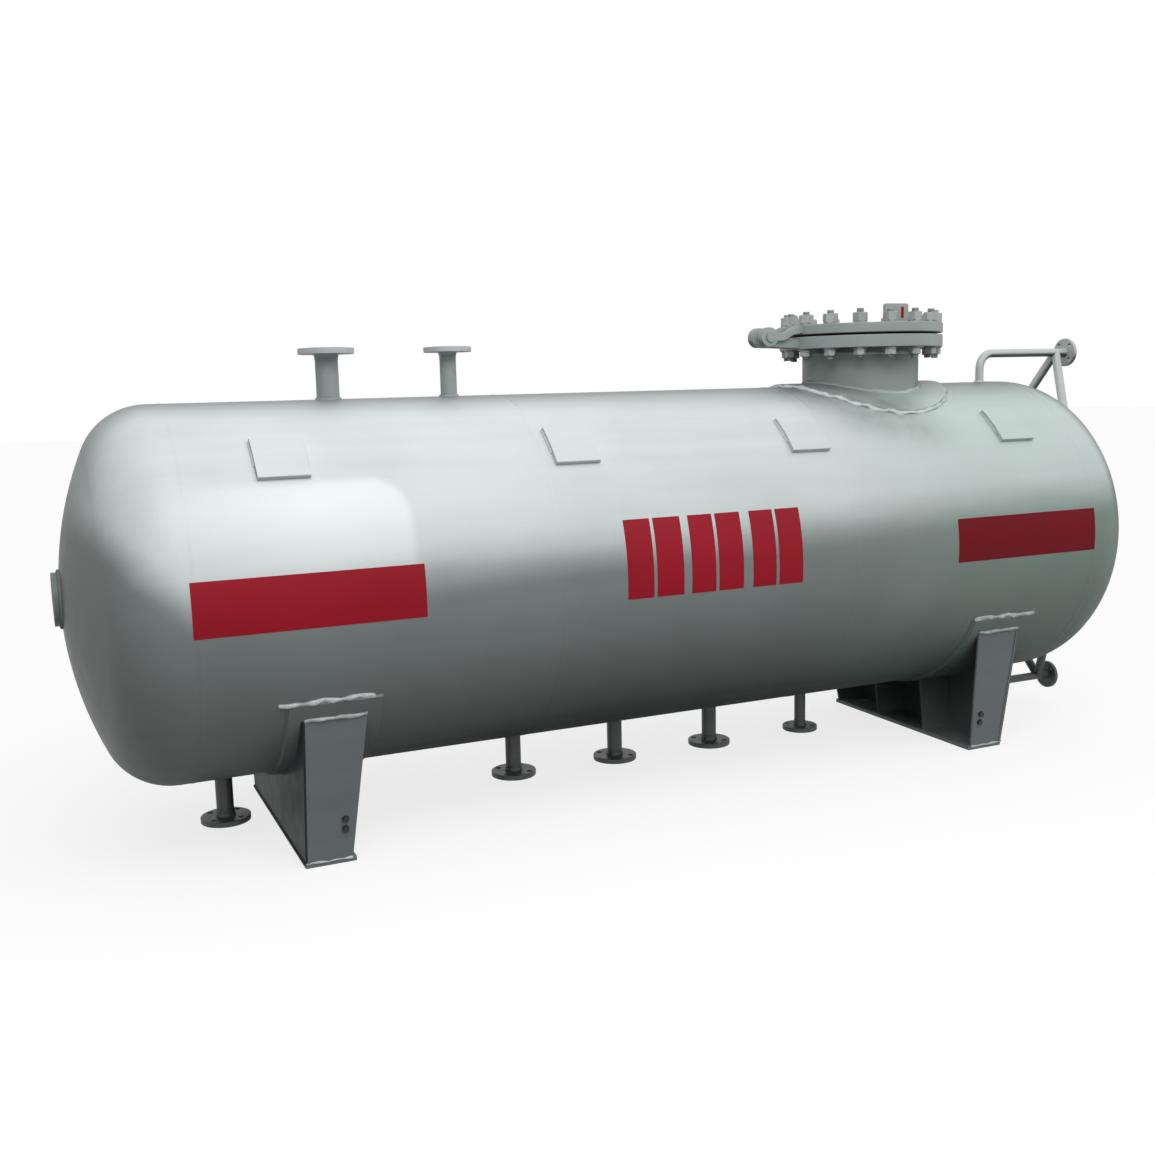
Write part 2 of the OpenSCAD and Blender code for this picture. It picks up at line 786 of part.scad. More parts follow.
module right_wear_plate() {
    color(saddle_grey) placed() wear_plate(1);
}

module front_bracket_pads() {
    color(steel) placed() bracket_pads(-1);
}

module rear_bracket_pads() {
    color(steel) placed() bracket_pads(1);
}

shell_course_left();
shell_course_mid();
shell_course_right();
head_left();
head_right();
end_boss();
manhole_pad();
manhole_neck();
manhole_flange();
manhole_gasket();
manhole_cover();
cover_ears();
flange_ears();
hinge_pin();
cover_lug();
top_neck_1();
top_flange_1();
top_neck_2();
top_flange_2();
bottom_neck(0);  // bottom_neck_1
bottom_flange(0);  // bottom_flange_1
bottom_neck(1);  // bottom_neck_2
bottom_flange(1);  // bottom_flange_2
bottom_neck(2);  // bottom_neck_3
bottom_flange(2);  // bottom_flange_3
bottom_neck(3);  // bottom_neck_4
bottom_flange(3);  // bottom_flange_4
drain_neck();
drain_flange();
gauge_pipe_upper();
gauge_flange_upper();
gauge_braces_upper();
gauge_pipe_lower();
gauge_flange_lower();
gauge_braces_lower();
left_base_plate();
left_web();
left_ribs();
left_wear_plate();
right_base_plate();
right_web();
right_ribs();
right_wear_plate();
front_bracket_pads();
rear_bracket_pads();
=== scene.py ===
import json
import math
import random

import bmesh
import bpy
from mathutils import Matrix, Vector
from mathutils.geometry import tessellate_polygon

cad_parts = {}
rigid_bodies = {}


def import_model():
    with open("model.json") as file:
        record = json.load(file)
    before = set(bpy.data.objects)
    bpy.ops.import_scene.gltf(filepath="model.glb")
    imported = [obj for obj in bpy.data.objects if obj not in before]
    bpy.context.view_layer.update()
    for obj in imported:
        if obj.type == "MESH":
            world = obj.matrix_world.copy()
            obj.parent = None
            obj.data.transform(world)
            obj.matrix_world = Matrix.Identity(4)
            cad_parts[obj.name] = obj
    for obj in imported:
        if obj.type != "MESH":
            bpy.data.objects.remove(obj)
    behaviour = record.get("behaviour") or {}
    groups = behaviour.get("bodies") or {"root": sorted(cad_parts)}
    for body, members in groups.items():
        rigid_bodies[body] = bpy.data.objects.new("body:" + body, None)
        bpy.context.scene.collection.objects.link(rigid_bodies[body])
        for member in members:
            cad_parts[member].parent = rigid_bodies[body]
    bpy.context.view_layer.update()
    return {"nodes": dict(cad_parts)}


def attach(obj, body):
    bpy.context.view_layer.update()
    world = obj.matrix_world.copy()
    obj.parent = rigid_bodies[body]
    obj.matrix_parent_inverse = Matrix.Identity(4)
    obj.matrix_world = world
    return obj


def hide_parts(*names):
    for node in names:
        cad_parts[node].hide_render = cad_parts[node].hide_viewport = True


for start_object in list(bpy.data.objects):
    bpy.data.objects.remove(start_object)
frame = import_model()
nodes = frame["nodes"]

# Shell and heads.
# Three courses of 12 mm steel plate, rolled to a cylinder, and two pressed dished heads, butt
# welded end to end and sprayed with aluminium paint, with painted shade greying the lower half.
SHELL_R = 0.612
AXIS_Z = 0.835
SHELL_LIGHT = (0.700, 0.768, 0.768, 1)
SHELL_LIGHT_WORN = (0.612, 0.676, 0.673, 1)
SHELL_PAINTED_SHADE = (0.262, 0.296, 0.290, 1)
SHELL_PAINTED_SHADE_WORN = (0.210, 0.239, 0.233, 1)
SHELL_PAINTED_BELLY_SHADE = (0.150, 0.172, 0.166, 1)
GREENED = (0.330, 0.590, 0.425, 1)
SHELL_FRESH = (0.800, 0.850, 0.855, 1)
MANHOLE_SHADOW_GREY = (0.225, 0.262, 0.255, 1)
EDGE_SHADE_GREY = (0.080, 0.092, 0.090, 1)


def new_group(name, inputs, outputs):
    group = bpy.data.node_groups.new(name, "ShaderNodeTree")
    for label, kind, value in inputs:
        socket = group.interface.new_socket(name=label, in_out="INPUT", socket_type=kind)
        if value is not None:
            socket.default_value = value
    for label, kind in outputs:
        group.interface.new_socket(name=label, in_out="OUTPUT", socket_type=kind)
    return group, group.nodes.new("NodeGroupInput"), group.nodes.new("NodeGroupOutput")


def noise(tree, place, scale, detail):
    node = tree.nodes.new("ShaderNodeTexNoise")
    node.inputs["Scale"].default_value = scale
    node.inputs["Detail"].default_value = detail
    node.inputs["Roughness"].default_value = 0.55
    tree.links.new(place, node.inputs["Vector"])
    return node.outputs["Fac"]


def stretched(tree, place, scale):
    node = tree.nodes.new("ShaderNodeMapping")
    node.inputs["Scale"].default_value = scale
    tree.links.new(place, node.inputs["Vector"])
    return node.outputs["Vector"]


def reckon(tree, operation, first, second):
    node = tree.nodes.new("ShaderNodeMath")
    node.operation = operation
    for socket, value in zip(node.inputs, (first, second)):
        if isinstance(value, (int, float)):
            socket.default_value = value
        else:
            tree.links.new(value, socket)
    return node.outputs["Value"]


def ranged(tree, value, low, high, out_low, out_high, smooth=False):
    node = tree.nodes.new("ShaderNodeMapRange")
    node.interpolation_type = "SMOOTHSTEP" if smooth else "LINEAR"
    for label, number in (("From Min", low), ("From Max", high), ("To Min", out_low), ("To Max", out_high)):
        node.inputs[label].default_value = number
    tree.links.new(value, node.inputs["Value"])
    return node.outputs["Result"]


def mixed(tree, mask, first, second):
    node = tree.nodes.new("ShaderNodeMix")
    node.data_type = "RGBA"
    node.clamp_factor = True
    tree.links.new(mask, node.inputs["Factor"])
    for socket, value in ((node.inputs[6], first), (node.inputs[7], second)):
        if isinstance(value, tuple):
            socket.default_value = value
        else:
            tree.links.new(value, socket)
    return node.outputs[2]


# The film that a spray gun leaves: soft clouds, passes along the vessel, flake and peel.
spray, spray_in, spray_out = new_group(
    "spray_film",
    [("Place", "NodeSocketVector", None)],
    [("Tone", "NodeSocketFloat"), ("Grip", "NodeSocketFloat"), ("Peel", "NodeSocketFloat")],
)
spray_place = spray_in.outputs["Place"]
cloud = noise(spray, spray_place, 2.2, 5)
gun_pass = noise(spray, stretched(spray, spray_place, (0.55, 11, 11)), 1.5, 4)
flake = noise(spray, spray_place, 480, 1)
peel = noise(spray, spray_place, 120, 2)
spray_tone = reckon(spray, "ADD", reckon(spray, "MULTIPLY", cloud, 0.55), reckon(spray, "MULTIPLY", gun_pass, 0.30))
spray_tone = reckon(spray, "ADD", spray_tone, reckon(spray, "MULTIPLY", flake, 0.15))
spray.links.new(ranged(spray, spray_tone, 0.36, 0.64, 0.0, 1.0), spray_out.inputs["Tone"])
spray.links.new(ranged(spray, reckon(spray, "ADD", cloud, gun_pass), 0.7, 1.3, 0.0, 1.0), spray_out.inputs["Grip"])
spray.links.new(reckon(spray, "ADD", peel, reckon(spray, "MULTIPLY", flake, 0.3)), spray_out.inputs["Peel"])

# Painted low shade: the band of height over which painted shade comes into the paint, with a
# slightly uneven edge that climbs on the crowns of the heads; under it the shade deepens towards the belly.
low_shade, low_shade_in, low_shade_out = new_group(
    "painted_low_shade", [("Place", "NodeSocketVector", None)], [("Lower half shade", "NodeSocketFloat"), ("Belly shade", "NodeSocketFloat")]
)
SHADE_FREE_ABOVE, SHADE_FULL_BELOW, CROWN_X = 1.05, 0.86, 1.76
low_shade_xyz = low_shade.nodes.new("ShaderNodeSeparateXYZ")
low_shade.links.new(low_shade_in.outputs["Place"], low_shade_xyz.inputs[0])
wander = noise(low_shade, stretched(low_shade, low_shade_in.outputs["Place"], (0.5, 2, 2)), 1.6, 3)
low_shade_x = low_shade_xyz.outputs["X"]
low_shade_tilt = reckon(low_shade, "MULTIPLY", low_shade_x, 0.032)
crown_shade_rise = reckon(low_shade, "MAXIMUM", reckon(low_shade, "SUBTRACT", reckon(low_shade, "ABSOLUTE", low_shade_x, 0.0), CROWN_X), 0.0)
low_shade_tilt = reckon(low_shade, "ADD", low_shade_tilt, reckon(low_shade, "MULTIPLY", crown_shade_rise, 0.95))
low_shade_edge = ranged(low_shade, wander, 0.3, 0.7, -0.022, 0.022)
low_shade_level = reckon(low_shade, "ADD", reckon(low_shade, "SUBTRACT", low_shade_xyz.outputs["Z"], low_shade_tilt), low_shade_edge)
low_shade_band = ranged(low_shade, low_shade_level, SHADE_FREE_ABOVE, SHADE_FULL_BELOW, 0.0, 1.0, smooth=True)
low_shade.links.new(low_shade_band, low_shade_out.inputs["Lower half shade"])
belly_shade_level = reckon(low_shade, "MULTIPLY", reckon(low_shade, "MULTIPLY", low_shade_x, low_shade_x), 0.075)
belly_shade_level = reckon(low_shade, "ADD", reckon(low_shade, "ADD", low_shade_xyz.outputs["Z"], belly_shade_level), low_shade_edge)
belly_shade_depth = ranged(low_shade, belly_shade_level, 0.74, 0.28, 0.0, 1.0)
low_shade.links.new(reckon(low_shade, "POWER", belly_shade_depth, 1.35), low_shade_out.inputs["Belly shade"])

# Painted underside shade: the more a face looks down, the more of a dark shade colour it takes.
shade, shade_in, shade_out = new_group(
    "painted_underside_shade",
    [("Lit above", "NodeSocketFloat", 0.05), ("Shaded below", "NodeSocketFloat", -0.55)],
    [("Downward shade", "NodeSocketFloat")],
)
shade_look = shade.nodes.new("ShaderNodeSeparateXYZ")
shade.links.new(shade.nodes.new("ShaderNodeNewGeometry").outputs["Normal"], shade_look.inputs[0])
shade_range = shade.nodes.new("ShaderNodeMapRange")
shade_range.interpolation_type = "SMOOTHSTEP"
shade.links.new(shade_look.outputs["Z"], shade_range.inputs["Value"])
shade.links.new(shade_in.outputs["Lit above"], shade_range.inputs["From Min"])
shade.links.new(shade_in.outputs["Shaded below"], shade_range.inputs["From Max"])
shade.links.new(shade_range.outputs["Result"], shade_out.inputs["Downward shade"])

# Touch-up: a field on the front of the left course, with rounded corners, sprayed once more
# before the left band went on.
fresh, fresh_in, fresh_out = new_group(
    "touch_up", [("Place", "NodeSocketVector", None)], [("Fresh", "NodeSocketFloat")]
)
FRESH_MID, FRESH_HALF, FRESH_ROUND = (-1.44, 1.03), (0.36, 0.185), 0.11
fresh_spot = fresh.nodes.new("ShaderNodeSeparateXYZ")
fresh.links.new(fresh_in.outputs["Place"], fresh_spot.inputs[0])
fresh_sides = []
for axis, middle, half in zip("XZ", FRESH_MID, FRESH_HALF):
    away = reckon(fresh, "ABSOLUTE", reckon(fresh, "SUBTRACT", fresh_spot.outputs[axis], middle), 0.0)
    away = reckon(fresh, "MAXIMUM", reckon(fresh, "SUBTRACT", away, half - FRESH_ROUND), 0.0)
    fresh_sides.append(reckon(fresh, "MULTIPLY", away, away))
fresh_edge = reckon(fresh, "POWER", reckon(fresh, "ADD", fresh_sides[0], fresh_sides[1]), 0.5)
fresh_field = ranged(fresh, fresh_edge, FRESH_ROUND - 0.025, FRESH_ROUND + 0.012, 1.0, 0.0, smooth=True)
fresh_front = ranged(fresh, fresh_spot.outputs["Y"], -0.30, -0.20, 1.0, 0.0)
fresh_field = reckon(fresh, "MULTIPLY", fresh_field, fresh_front)
fresh_fade = ranged(fresh, fresh_spot.outputs["X"], -1.80, -1.40, 0.0, 1.0)
fresh.links.new(reckon(fresh, "MULTIPLY", fresh_field, fresh_fade), fresh_out.inputs["Fresh"])

# Painted shadow of the manhole on the shell round its foot, worst at its front left, in a noisy haze.
manhole_shade, manhole_shade_in, manhole_shade_out = new_group(
    "manhole_painted_shadow", [("Place", "NodeSocketVector", None)], [("Manhole shadow", "NodeSocketFloat")]
)
MANHOLE_SHADE_X = 0.960
manhole_shade_spot = manhole_shade.nodes.new("ShaderNodeSeparateXYZ")
manhole_shade.links.new(manhole_shade_in.outputs["Place"], manhole_shade_spot.inputs[0])
manhole_shade_dx = reckon(manhole_shade, "SUBTRACT", manhole_shade_spot.outputs["X"], MANHOLE_SHADE_X)
manhole_shade_dy = manhole_shade_spot.outputs["Y"]
manhole_shade_squares = [reckon(manhole_shade, "MULTIPLY", way, way) for way in (manhole_shade_dx, manhole_shade_dy)]
manhole_shade_away = reckon(manhole_shade, "ADD", manhole_shade_squares[0], manhole_shade_squares[1])
manhole_shade_ring = ranged(manhole_shade, reckon(manhole_shade, "POWER", manhole_shade_away, 0.5), 0.33, 0.60, 1.0, 0.0, smooth=True)
manhole_shade_side = reckon(manhole_shade, "ADD", reckon(manhole_shade, "MULTIPLY", manhole_shade_dx, -1.2), reckon(manhole_shade, "MULTIPLY", manhole_shade_dy, -0.8))
manhole_shade_ring = reckon(manhole_shade, "MULTIPLY", manhole_shade_ring, ranged(manhole_shade, manhole_shade_side, 0.06, 0.36, 0.0, 1.0, smooth=True))
manhole_shade_ring = reckon(manhole_shade, "MULTIPLY", manhole_shade_ring, ranged(manhole_shade, manhole_shade_spot.outputs["Z"], 1.15, 1.28, 0.0, 1.0))
manhole_shade_haze = ranged(manhole_shade, noise(manhole_shade, manhole_shade_in.outputs["Place"], 9.0, 4), 0.35, 0.65, 0.45, 0.85)
manhole_shade.links.new(reckon(manhole_shade, "MULTIPLY", manhole_shade_ring, manhole_shade_haze), manhole_shade_out.inputs["Manhole shadow"])

# Green tint: a faint patchy green cast, growing from the middle of the tank to its gauge end.
tint, tint_in, tint_out = new_group(
    "green_tint", [("Place", "NodeSocketVector", None)], [("Green", "NodeSocketFloat")]
)
tint_spot = tint.nodes.new("ShaderNodeSeparateXYZ")
tint.links.new(tint_in.outputs["Place"], tint_spot.inputs[0])
tint_reach = ranged(tint, tint_spot.outputs["X"], 0.1, 1.3, 0.0, 0.16, smooth=True)
tint_patch = ranged(tint, noise(tint, tint_in.outputs["Place"], 2.5, 3), 0.35, 0.65, 0.75, 1.25)
tint.links.new(reckon(tint, "MULTIPLY", tint_reach, tint_patch), tint_out.inputs["Green"])


def new_coat(name, metallic, specular):
    material = bpy.data.materials.new(name)
    material.use_nodes = True
    tree = material.node_tree
    shader = tree.nodes["Principled BSDF"]
    shader.inputs["Metallic"].default_value = metallic
    shader.inputs["Specular IOR Level"].default_value = specular
    place = tree.nodes.new("ShaderNodeTexCoord").outputs["Object"]
    return material, tree, shader, place


def placed_group(tree, group, place):
    node = tree.nodes.new("ShaderNodeGroup")
    node.node_tree = group
    tree.links.new(place, node.inputs["Place"])
    return node


def bumped(tree, shader, height, distance):
    node = tree.nodes.new("ShaderNodeBump")
    node.inputs["Strength"].default_value = 0.6
    node.inputs["Distance"].default_value = distance
    tree.links.new(height, node.inputs["Height"])
    tree.links.new(node.outputs["Normal"], shader.inputs["Normal"])


PEEL_DEPTH = 0.0005


def sprayed_coat(
    name, light, worn, rough=(0.40, 0.52), metallic=0.1, specular=0.35, low=None, underside_shade=None, grain=1,
    underside_shade_span=(0.05, -0.55), edge_shade=0.0, touched=None, shadow_and_tint=None,
):
    """Sprayed paint: low gives the painted shade colours of its lower half, bare the painted shade on
    faces that look down, flop the painted shade seen edge on, partly the real darkening of aluminium
    flake, touched the touch-up colour, stained the painted shadow round the manhole and the green tint."""
    material, tree, shader, place = new_coat(name, metallic, specular)
    if grain != 1:
        place = stretched(tree, place, (grain, grain, grain))
    film = placed_group(tree, spray, place)
    colour = mixed(tree, film.outputs["Tone"], worn, light)
    if touched:
        colour = mixed(tree, placed_group(tree, fresh, place).outputs["Fresh"], colour, touched)
    # Painted shadow of the manhole, in its own grey.
    if shadow_and_tint:
        colour = mixed(tree, placed_group(tree, manhole_shade, place).outputs["Manhole shadow"], colour, shadow_and_tint)
    roughness = ranged(tree, film.outputs["Grip"], 0, 1, rough[0], rough[1])
    # Painted shade on the lower half, deepest at the belly and rising on the head crowns.
    if low:
        low_shade_node = placed_group(tree, low_shade, place)
        painted_shade_colour = mixed(tree, low_shade_node.outputs["Belly shade"], mixed(tree, film.outputs["Tone"], low[1], low[0]), low[2])
        colour = mixed(tree, low_shade_node.outputs["Lower half shade"], colour, painted_shade_colour)
        roughness = reckon(tree, "ADD", roughness, reckon(tree, "MULTIPLY", low_shade_node.outputs["Belly shade"], 0.3))
        tree.links.new(ranged(tree, low_shade_node.outputs["Belly shade"], 0, 0.7, specular, 0.02), shader.inputs["Specular IOR Level"])
    if shadow_and_tint:
        colour = mixed(tree, placed_group(tree, tint, place).outputs["Green"], colour, GREENED)
    # Painted shade on faces that look down.
    if underside_shade:
        underside_shade_node = tree.nodes.new("ShaderNodeGroup")
        underside_shade_node.node_tree = shade
        underside_shade_node.inputs["Lit above"].default_value, underside_shade_node.inputs["Shaded below"].default_value = underside_shade_span
        colour = mixed(tree, underside_shade_node.outputs["Downward shade"], colour, underside_shade)
    # Painted shade at the outline: the colour darkens where the surface turns edge on, partly the real darkening of
    # aluminium flake.
    if edge_shade:
        edge_on = tree.nodes.new("ShaderNodeLayerWeight").outputs["Facing"]
        colour = mixed(tree, ranged(tree, edge_on, 0.52, 1.0, 0.0, edge_shade, smooth=True), colour, EDGE_SHADE_GREY)
    tree.links.new(colour, shader.inputs["Base Color"])
    tree.links.new(roughness, shader.inputs["Roughness"])
    bumped(tree, shader, film.outputs["Peel"], PEEL_DEPTH)
    return material


# The shell paint carries painted shade on its lower half, painted shade at its outline and the painted shadow of the
# manhole.
shell_coat = sprayed_coat(
    "shell_aluminium_coat", SHELL_LIGHT, SHELL_LIGHT_WORN, specular=0.16, low=(SHELL_PAINTED_SHADE, SHELL_PAINTED_SHADE_WORN, SHELL_PAINTED_BELLY_SHADE),
    edge_shade=0.80, touched=SHELL_FRESH, shadow_and_tint=MANHOLE_SHADOW_GREY,
)
for shell_node in ("shell_course_left", "shell_course_mid", "shell_course_right", "head_left", "head_right"):
    nodes[shell_node].material_slots[0].material = shell_coat


def joined(parts):
    verts, faces = [], []
    for part_verts, part_faces in parts:
        start = len(verts)
        verts += part_verts
        faces += [tuple(start + i for i in face) for face in part_faces]
    return verts, faces


def moved(part, matrix):
    return [matrix @ Vector(v) for v in part[0]], part[1]


def made_piece(name, part, coat, crisp=None):
    mesh = bpy.data.meshes.new(name)
    mesh.from_pydata([tuple(v) for v in part[0]], [], part[1])
    shape = bmesh.new()
    shape.from_mesh(mesh)
    bmesh.ops.recalc_face_normals(shape, faces=shape.faces)
    shape.to_mesh(mesh)
    shape.free()
    mesh.materials.append(coat)
    for face in mesh.polygons:
        face.use_smooth = True
    if crisp:
        mesh.set_sharp_from_angle(angle=math.radians(crisp))
    piece = bpy.data.objects.new(name, mesh)
    bpy.context.scene.collection.objects.link(piece)
    if crisp:
        weighted = piece.modifiers.new("flat_faces", "WEIGHTED_NORMAL")
        weighted.keep_sharp = True
    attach(piece, "root")
    return piece


def weld_run(line, up, width, height, closed=False, pitch=0.007, seed=1, ragged=0.0, ground=False):
    """A weld bead along a line of points: a low rounded ridge with the ripples of its passes.
    Up is its direction or a function of the spot; ground beads are dressed to a soft hump."""
    wobble = random.Random(seed)
    ends = line + [line[0]] if closed else line
    total = sum((b - a).length for a, b in zip(ends, ends[1:]))
    count = max(4, 2 * round(total / pitch))
    stations, gone, leg = [], 0.0, 0
    for i in range(count if closed else count + 1):
        want = total * i / count
        while leg < len(ends) - 2 and gone + (ends[leg + 1] - ends[leg]).length < want:
            gone += (ends[leg + 1] - ends[leg]).length
            leg += 1
        step = ends[leg + 1] - ends[leg]
        stations.append((ends[leg] + step.normalized() * (want - gone), step.normalized()))
    arc = [math.radians(a) for a in (0, 30, 60, 90, 120, 150, 180, 270)]
    knots = [[wobble.uniform(-1, 1) for _ in range(3)] for _ in range(count // 6 + 3)]
    verts, faces = [], []
    for i, (spot, along) in enumerate(stations):
        high = (up(spot) if callable(up) else Vector(up)).normalized()
        side = along.cross(high).normalized()
        tall = height * (1.12 if i % 2 else 0.86) * wobble.uniform(0.94, 1.06)
        wide = width / 2 * (1.03 if i % 2 else 0.97) * wobble.uniform(0.96, 1.04)
        if ragged:
            knot, share = divmod(i / 6, 1)
            drift = [a + (b - a) * share for a, b in zip(knots[int(knot)], knots[int(knot) + 1])]
            tall *= 1 + ragged * 0.7 * drift[0]
            wide *= 1 + ragged * 0.6 * drift[1]
            spot = spot + side * (ragged * 0.35 * width * drift[2])
        if not closed and i in (0, len(stations) - 1):
            tall, wide = tall * 0.4, wide * 0.6
        for a in arc:
            lift = tall * math.sin(a) ** (4 if ground else 1) if a < 4 else -height * 0.6
            verts.append(spot + side * (wide * math.cos(a)) + high * lift)
    size = len(arc)
    rows = len(stations)
    for i in range(rows if closed else rows - 1):
        j = (i + 1) % rows
        for k in range(size):
            n = (k + 1) % size
            faces.append((i * size + k, i * size + n, j * size + n, j * size + k))
    if not closed:
        faces.append(tuple(range(size)))
        faces.append(tuple(range((rows - 1) * size, rows * size)))
    return verts, faces


def shell_spot(x, angle, out=0.0):
    """Point on the shell: angle from the front horizontal, upwards, over to the back."""
    reach = SHELL_R + out
    return Vector((x, -reach * math.cos(angle), AXIS_Z + reach * math.sin(angle)))


def belly_spot(x, turn, reach):
    """Point at a reach from the shell axis: angle from straight down, over to the back."""
    return Vector((x, reach * math.sin(turn), AXIS_Z - reach * math.cos(turn)))


def off_axis(spot):
    return Vector((0, spot.y, spot.z - AXIS_Z))


def leaning(way):
    """Direction of a bead that stands off the shell and leans another way as well."""
    return lambda spot: off_axis(spot).normalized() + Vector(way)


# Butt seams: one ring at each head and between the courses, one lengthwise seam a course.
RING_SEAMS = (-1.732, -0.604, 0.524, 1.652)
LONG_SEAMS = ((-1.732, -0.604, 153), (-0.604, 0.524, 114), (0.524, 1.652, 153))
SEAM_WIDE, SEAM_TALL = 0.022, 0.0008
seams = []
for number, seam_x in enumerate(RING_SEAMS):
    ring = [shell_spot(seam_x, math.radians(a)) for a in range(0, 360, 1)]
    seams.append(weld_run(ring, off_axis, SEAM_WIDE, SEAM_TALL, True, pitch=0.009, seed=number, ground=True))
for number, (x0, x1, degrees) in enumerate(LONG_SEAMS):
    ends = [shell_spot(x0, math.radians(degrees)), shell_spot(x1, math.radians(degrees))]
    seams.append(weld_run(ends, off_axis, SEAM_WIDE, SEAM_TALL, pitch=0.009, seed=20 + number, ground=True))
shell_seams = made_piece("shell_seams", joined(seams), shell_coat, crisp=60)

# End boss.
# A round machined block let into the middle of the left head, with a bore and four tapped holes
# in its face, welded all round and painted over with the shell.
BOSS_X, BOSS_Z, BOSS_R, BOSS_DEEP = -2.0919, AXIS_Z + 0.015, 0.085, 0.036


def arc_points(radius, start, end, steps, x=0.0, y=0.0):
    """Points along an arc from one angle to another, in degrees."""
    turns = [math.radians(start + (end - start) * i / steps) for i in range(steps + 1)]
    return [Vector((x + radius * math.cos(t), y + radius * math.sin(t))) for t in turns]


def circle(radius, steps, x=0.0, y=0.0):
    return arc_points(radius, 0, 360, steps, x, y)[:-1]


def set_in(loop, depth):
    """The loop moved into the material by a depth; outlines run anticlockwise, holes clockwise."""
    result = []
    for i, spot in enumerate(loop):
        before = (spot - loop[i - 1]).normalized()
        after = (loop[(i + 1) % len(loop)] - spot).normalized()
        inward = Vector((-before.y - after.y, before.x + after.x))
        lean = max(0.3, inward.length / 2)
        result.append(spot + inward.normalized() * (depth / lean))
    return result


def flat_plate(outline, holes, thick, edge):
    """A plate in the XY plane about z = 0 with rounded edges along its outline and its holes."""
    loops = [list(outline)] + [list(reversed(hole)) for hole in holes]
    steps = [(edge, thick / 2), (edge * 0.3, thick / 2 - edge * 0.3), (0, thick / 2 - edge)]
    steps += [(inset, -z) for inset, z in reversed(steps)]
    verts, faces, top, low = [], [], [], []
    for loop in loops:
        size = len(loop)
        start = len(verts)
        for inset, z in steps:
            verts += [Vector((p.x, p.y, z)) for p in (set_in(loop, inset) if inset else loop)]
        for row in range(len(steps) - 1):
            for i in range(size):
                j = (i + 1) % size
                a = start + row * size
                faces.append((a + i, a + j, a + size + j, a + size + i))
        top.append([start + i for i in range(size)])
        low.append([start + (len(steps) - 1) * size + i for i in range(size)])
    for rims in (top, low):
        order = [index for rim in rims for index in rim]
        for triangle in tessellate_polygon([[verts[index] for index in rim] for rim in rims]):
            faces.append(tuple(order[i] for i in triangle))
    return verts, faces


def hole_ring(count, ring_r, hole_r):
    """Holes evenly round a ring, the first half a step from the x axis."""
    turns = [2 * math.pi * (i + 0.5) / count for i in range(count)]
    return [circle(hole_r, 24, ring_r * math.cos(t), ring_r * math.sin(t)) for t in turns]


def facing(spot, out, across):
    """Matrix that puts a piece's z along out and its x along across, at a spot."""
    z = Vector(out).normalized()
    x = Vector(across)
    x = (x - z * x.dot(z)).normalized()
    y = z.cross(x)
    turn = Matrix((x, y, z)).transposed().to_4x4()
    return Matrix.Translation(Vector(spot)) @ turn


BOSS_BORE, BOSS_TAP_RING, BOSS_TAP = 0.025, 0.0625, 0.008
boss_holes = [circle(BOSS_BORE, 48)] + hole_ring(4, BOSS_TAP_RING, BOSS_TAP)
boss_block = flat_plate(circle(BOSS_R, 96), boss_holes, BOSS_DEEP, 0.002)
boss_block = moved(boss_block, facing((BOSS_X + BOSS_DEEP / 2, 0, BOSS_Z), (-1, 0, 0), (0, 1, 0)))
end_block = made_piece("end_boss_block", boss_block, shell_coat, crisp=35)
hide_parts("end_boss")


def ring_weld(centre, out, radius, width, height, lean=0.5, seed=1, pitch=0.006):
    """A bead round a turned piece: lean 0 stands up along out, 1 stands off the ring's side."""
    place = facing(centre, out, (0, 1, 0) if abs(Vector(out).y) < 0.9 else (1, 0, 0))
    line = [place @ p.to_3d() for p in circle(radius, 120)]
    middle, axis = Vector(centre), Vector(out).normalized()

    def up(spot):
        side = spot - middle
        side = (side - axis * side.dot(axis)).normalized()
        return side * lean + axis * (1 - lean)

    return weld_run(line, up, width, height, closed=True, pitch=pitch, seed=seed)


boss_weld = made_piece(
    "end_boss_weld", ring_weld((BOSS_X + 0.0232, 0, BOSS_Z), (-1, 0, 0.012), BOSS_R + 0.001, 0.016, 0.008), shell_coat
)

# Manhole neck and its reinforcing pad.
# A rolled neck of 14 mm plate stands through the shell; a saddle-shaped pad of 12 mm plate is
# welded round its foot, with a heavy bead at the neck and another round the edge of the pad.
MANHOLE_X, PAD_X = 0.980, 0.960
NECK_R, PAD_R, NECK_TOP = 0.2285, 0.350, 1.572
PAD_TOP_R = SHELL_R + 0.0123
fitting_coat = sprayed_coat(
    "fitting_aluminium_coat", (0.440, 0.500, 0.483, 1), (0.338, 0.391, 0.376, 1), rough=(0.34, 0.48), specular=0.35,
    underside_shade=(0.085, 0.097, 0.094, 1), edge_shade=0.5,
)
# A lighter paint for the lit left part of the pad weld: painted highlight.
lit_bead_coat = sprayed_coat(
    "bead_aluminium_painted_highlight", (0.725, 0.785, 0.780, 1), (0.590, 0.645, 0.640, 1), rough=(0.30, 0.42), specular=0.4
)
# A darker copy of the fitting paint: painted shade on the manhole neck under its flange.
shaded_neck_coat = sprayed_coat(
    "neck_aluminium_painted_shade", (0.395, 0.450, 0.435, 1), (0.296, 0.341, 0.329, 1), rough=(0.40, 0.54), specular=0.25,
    underside_shade=(0.085, 0.097, 0.094, 1), edge_shade=0.7,
)
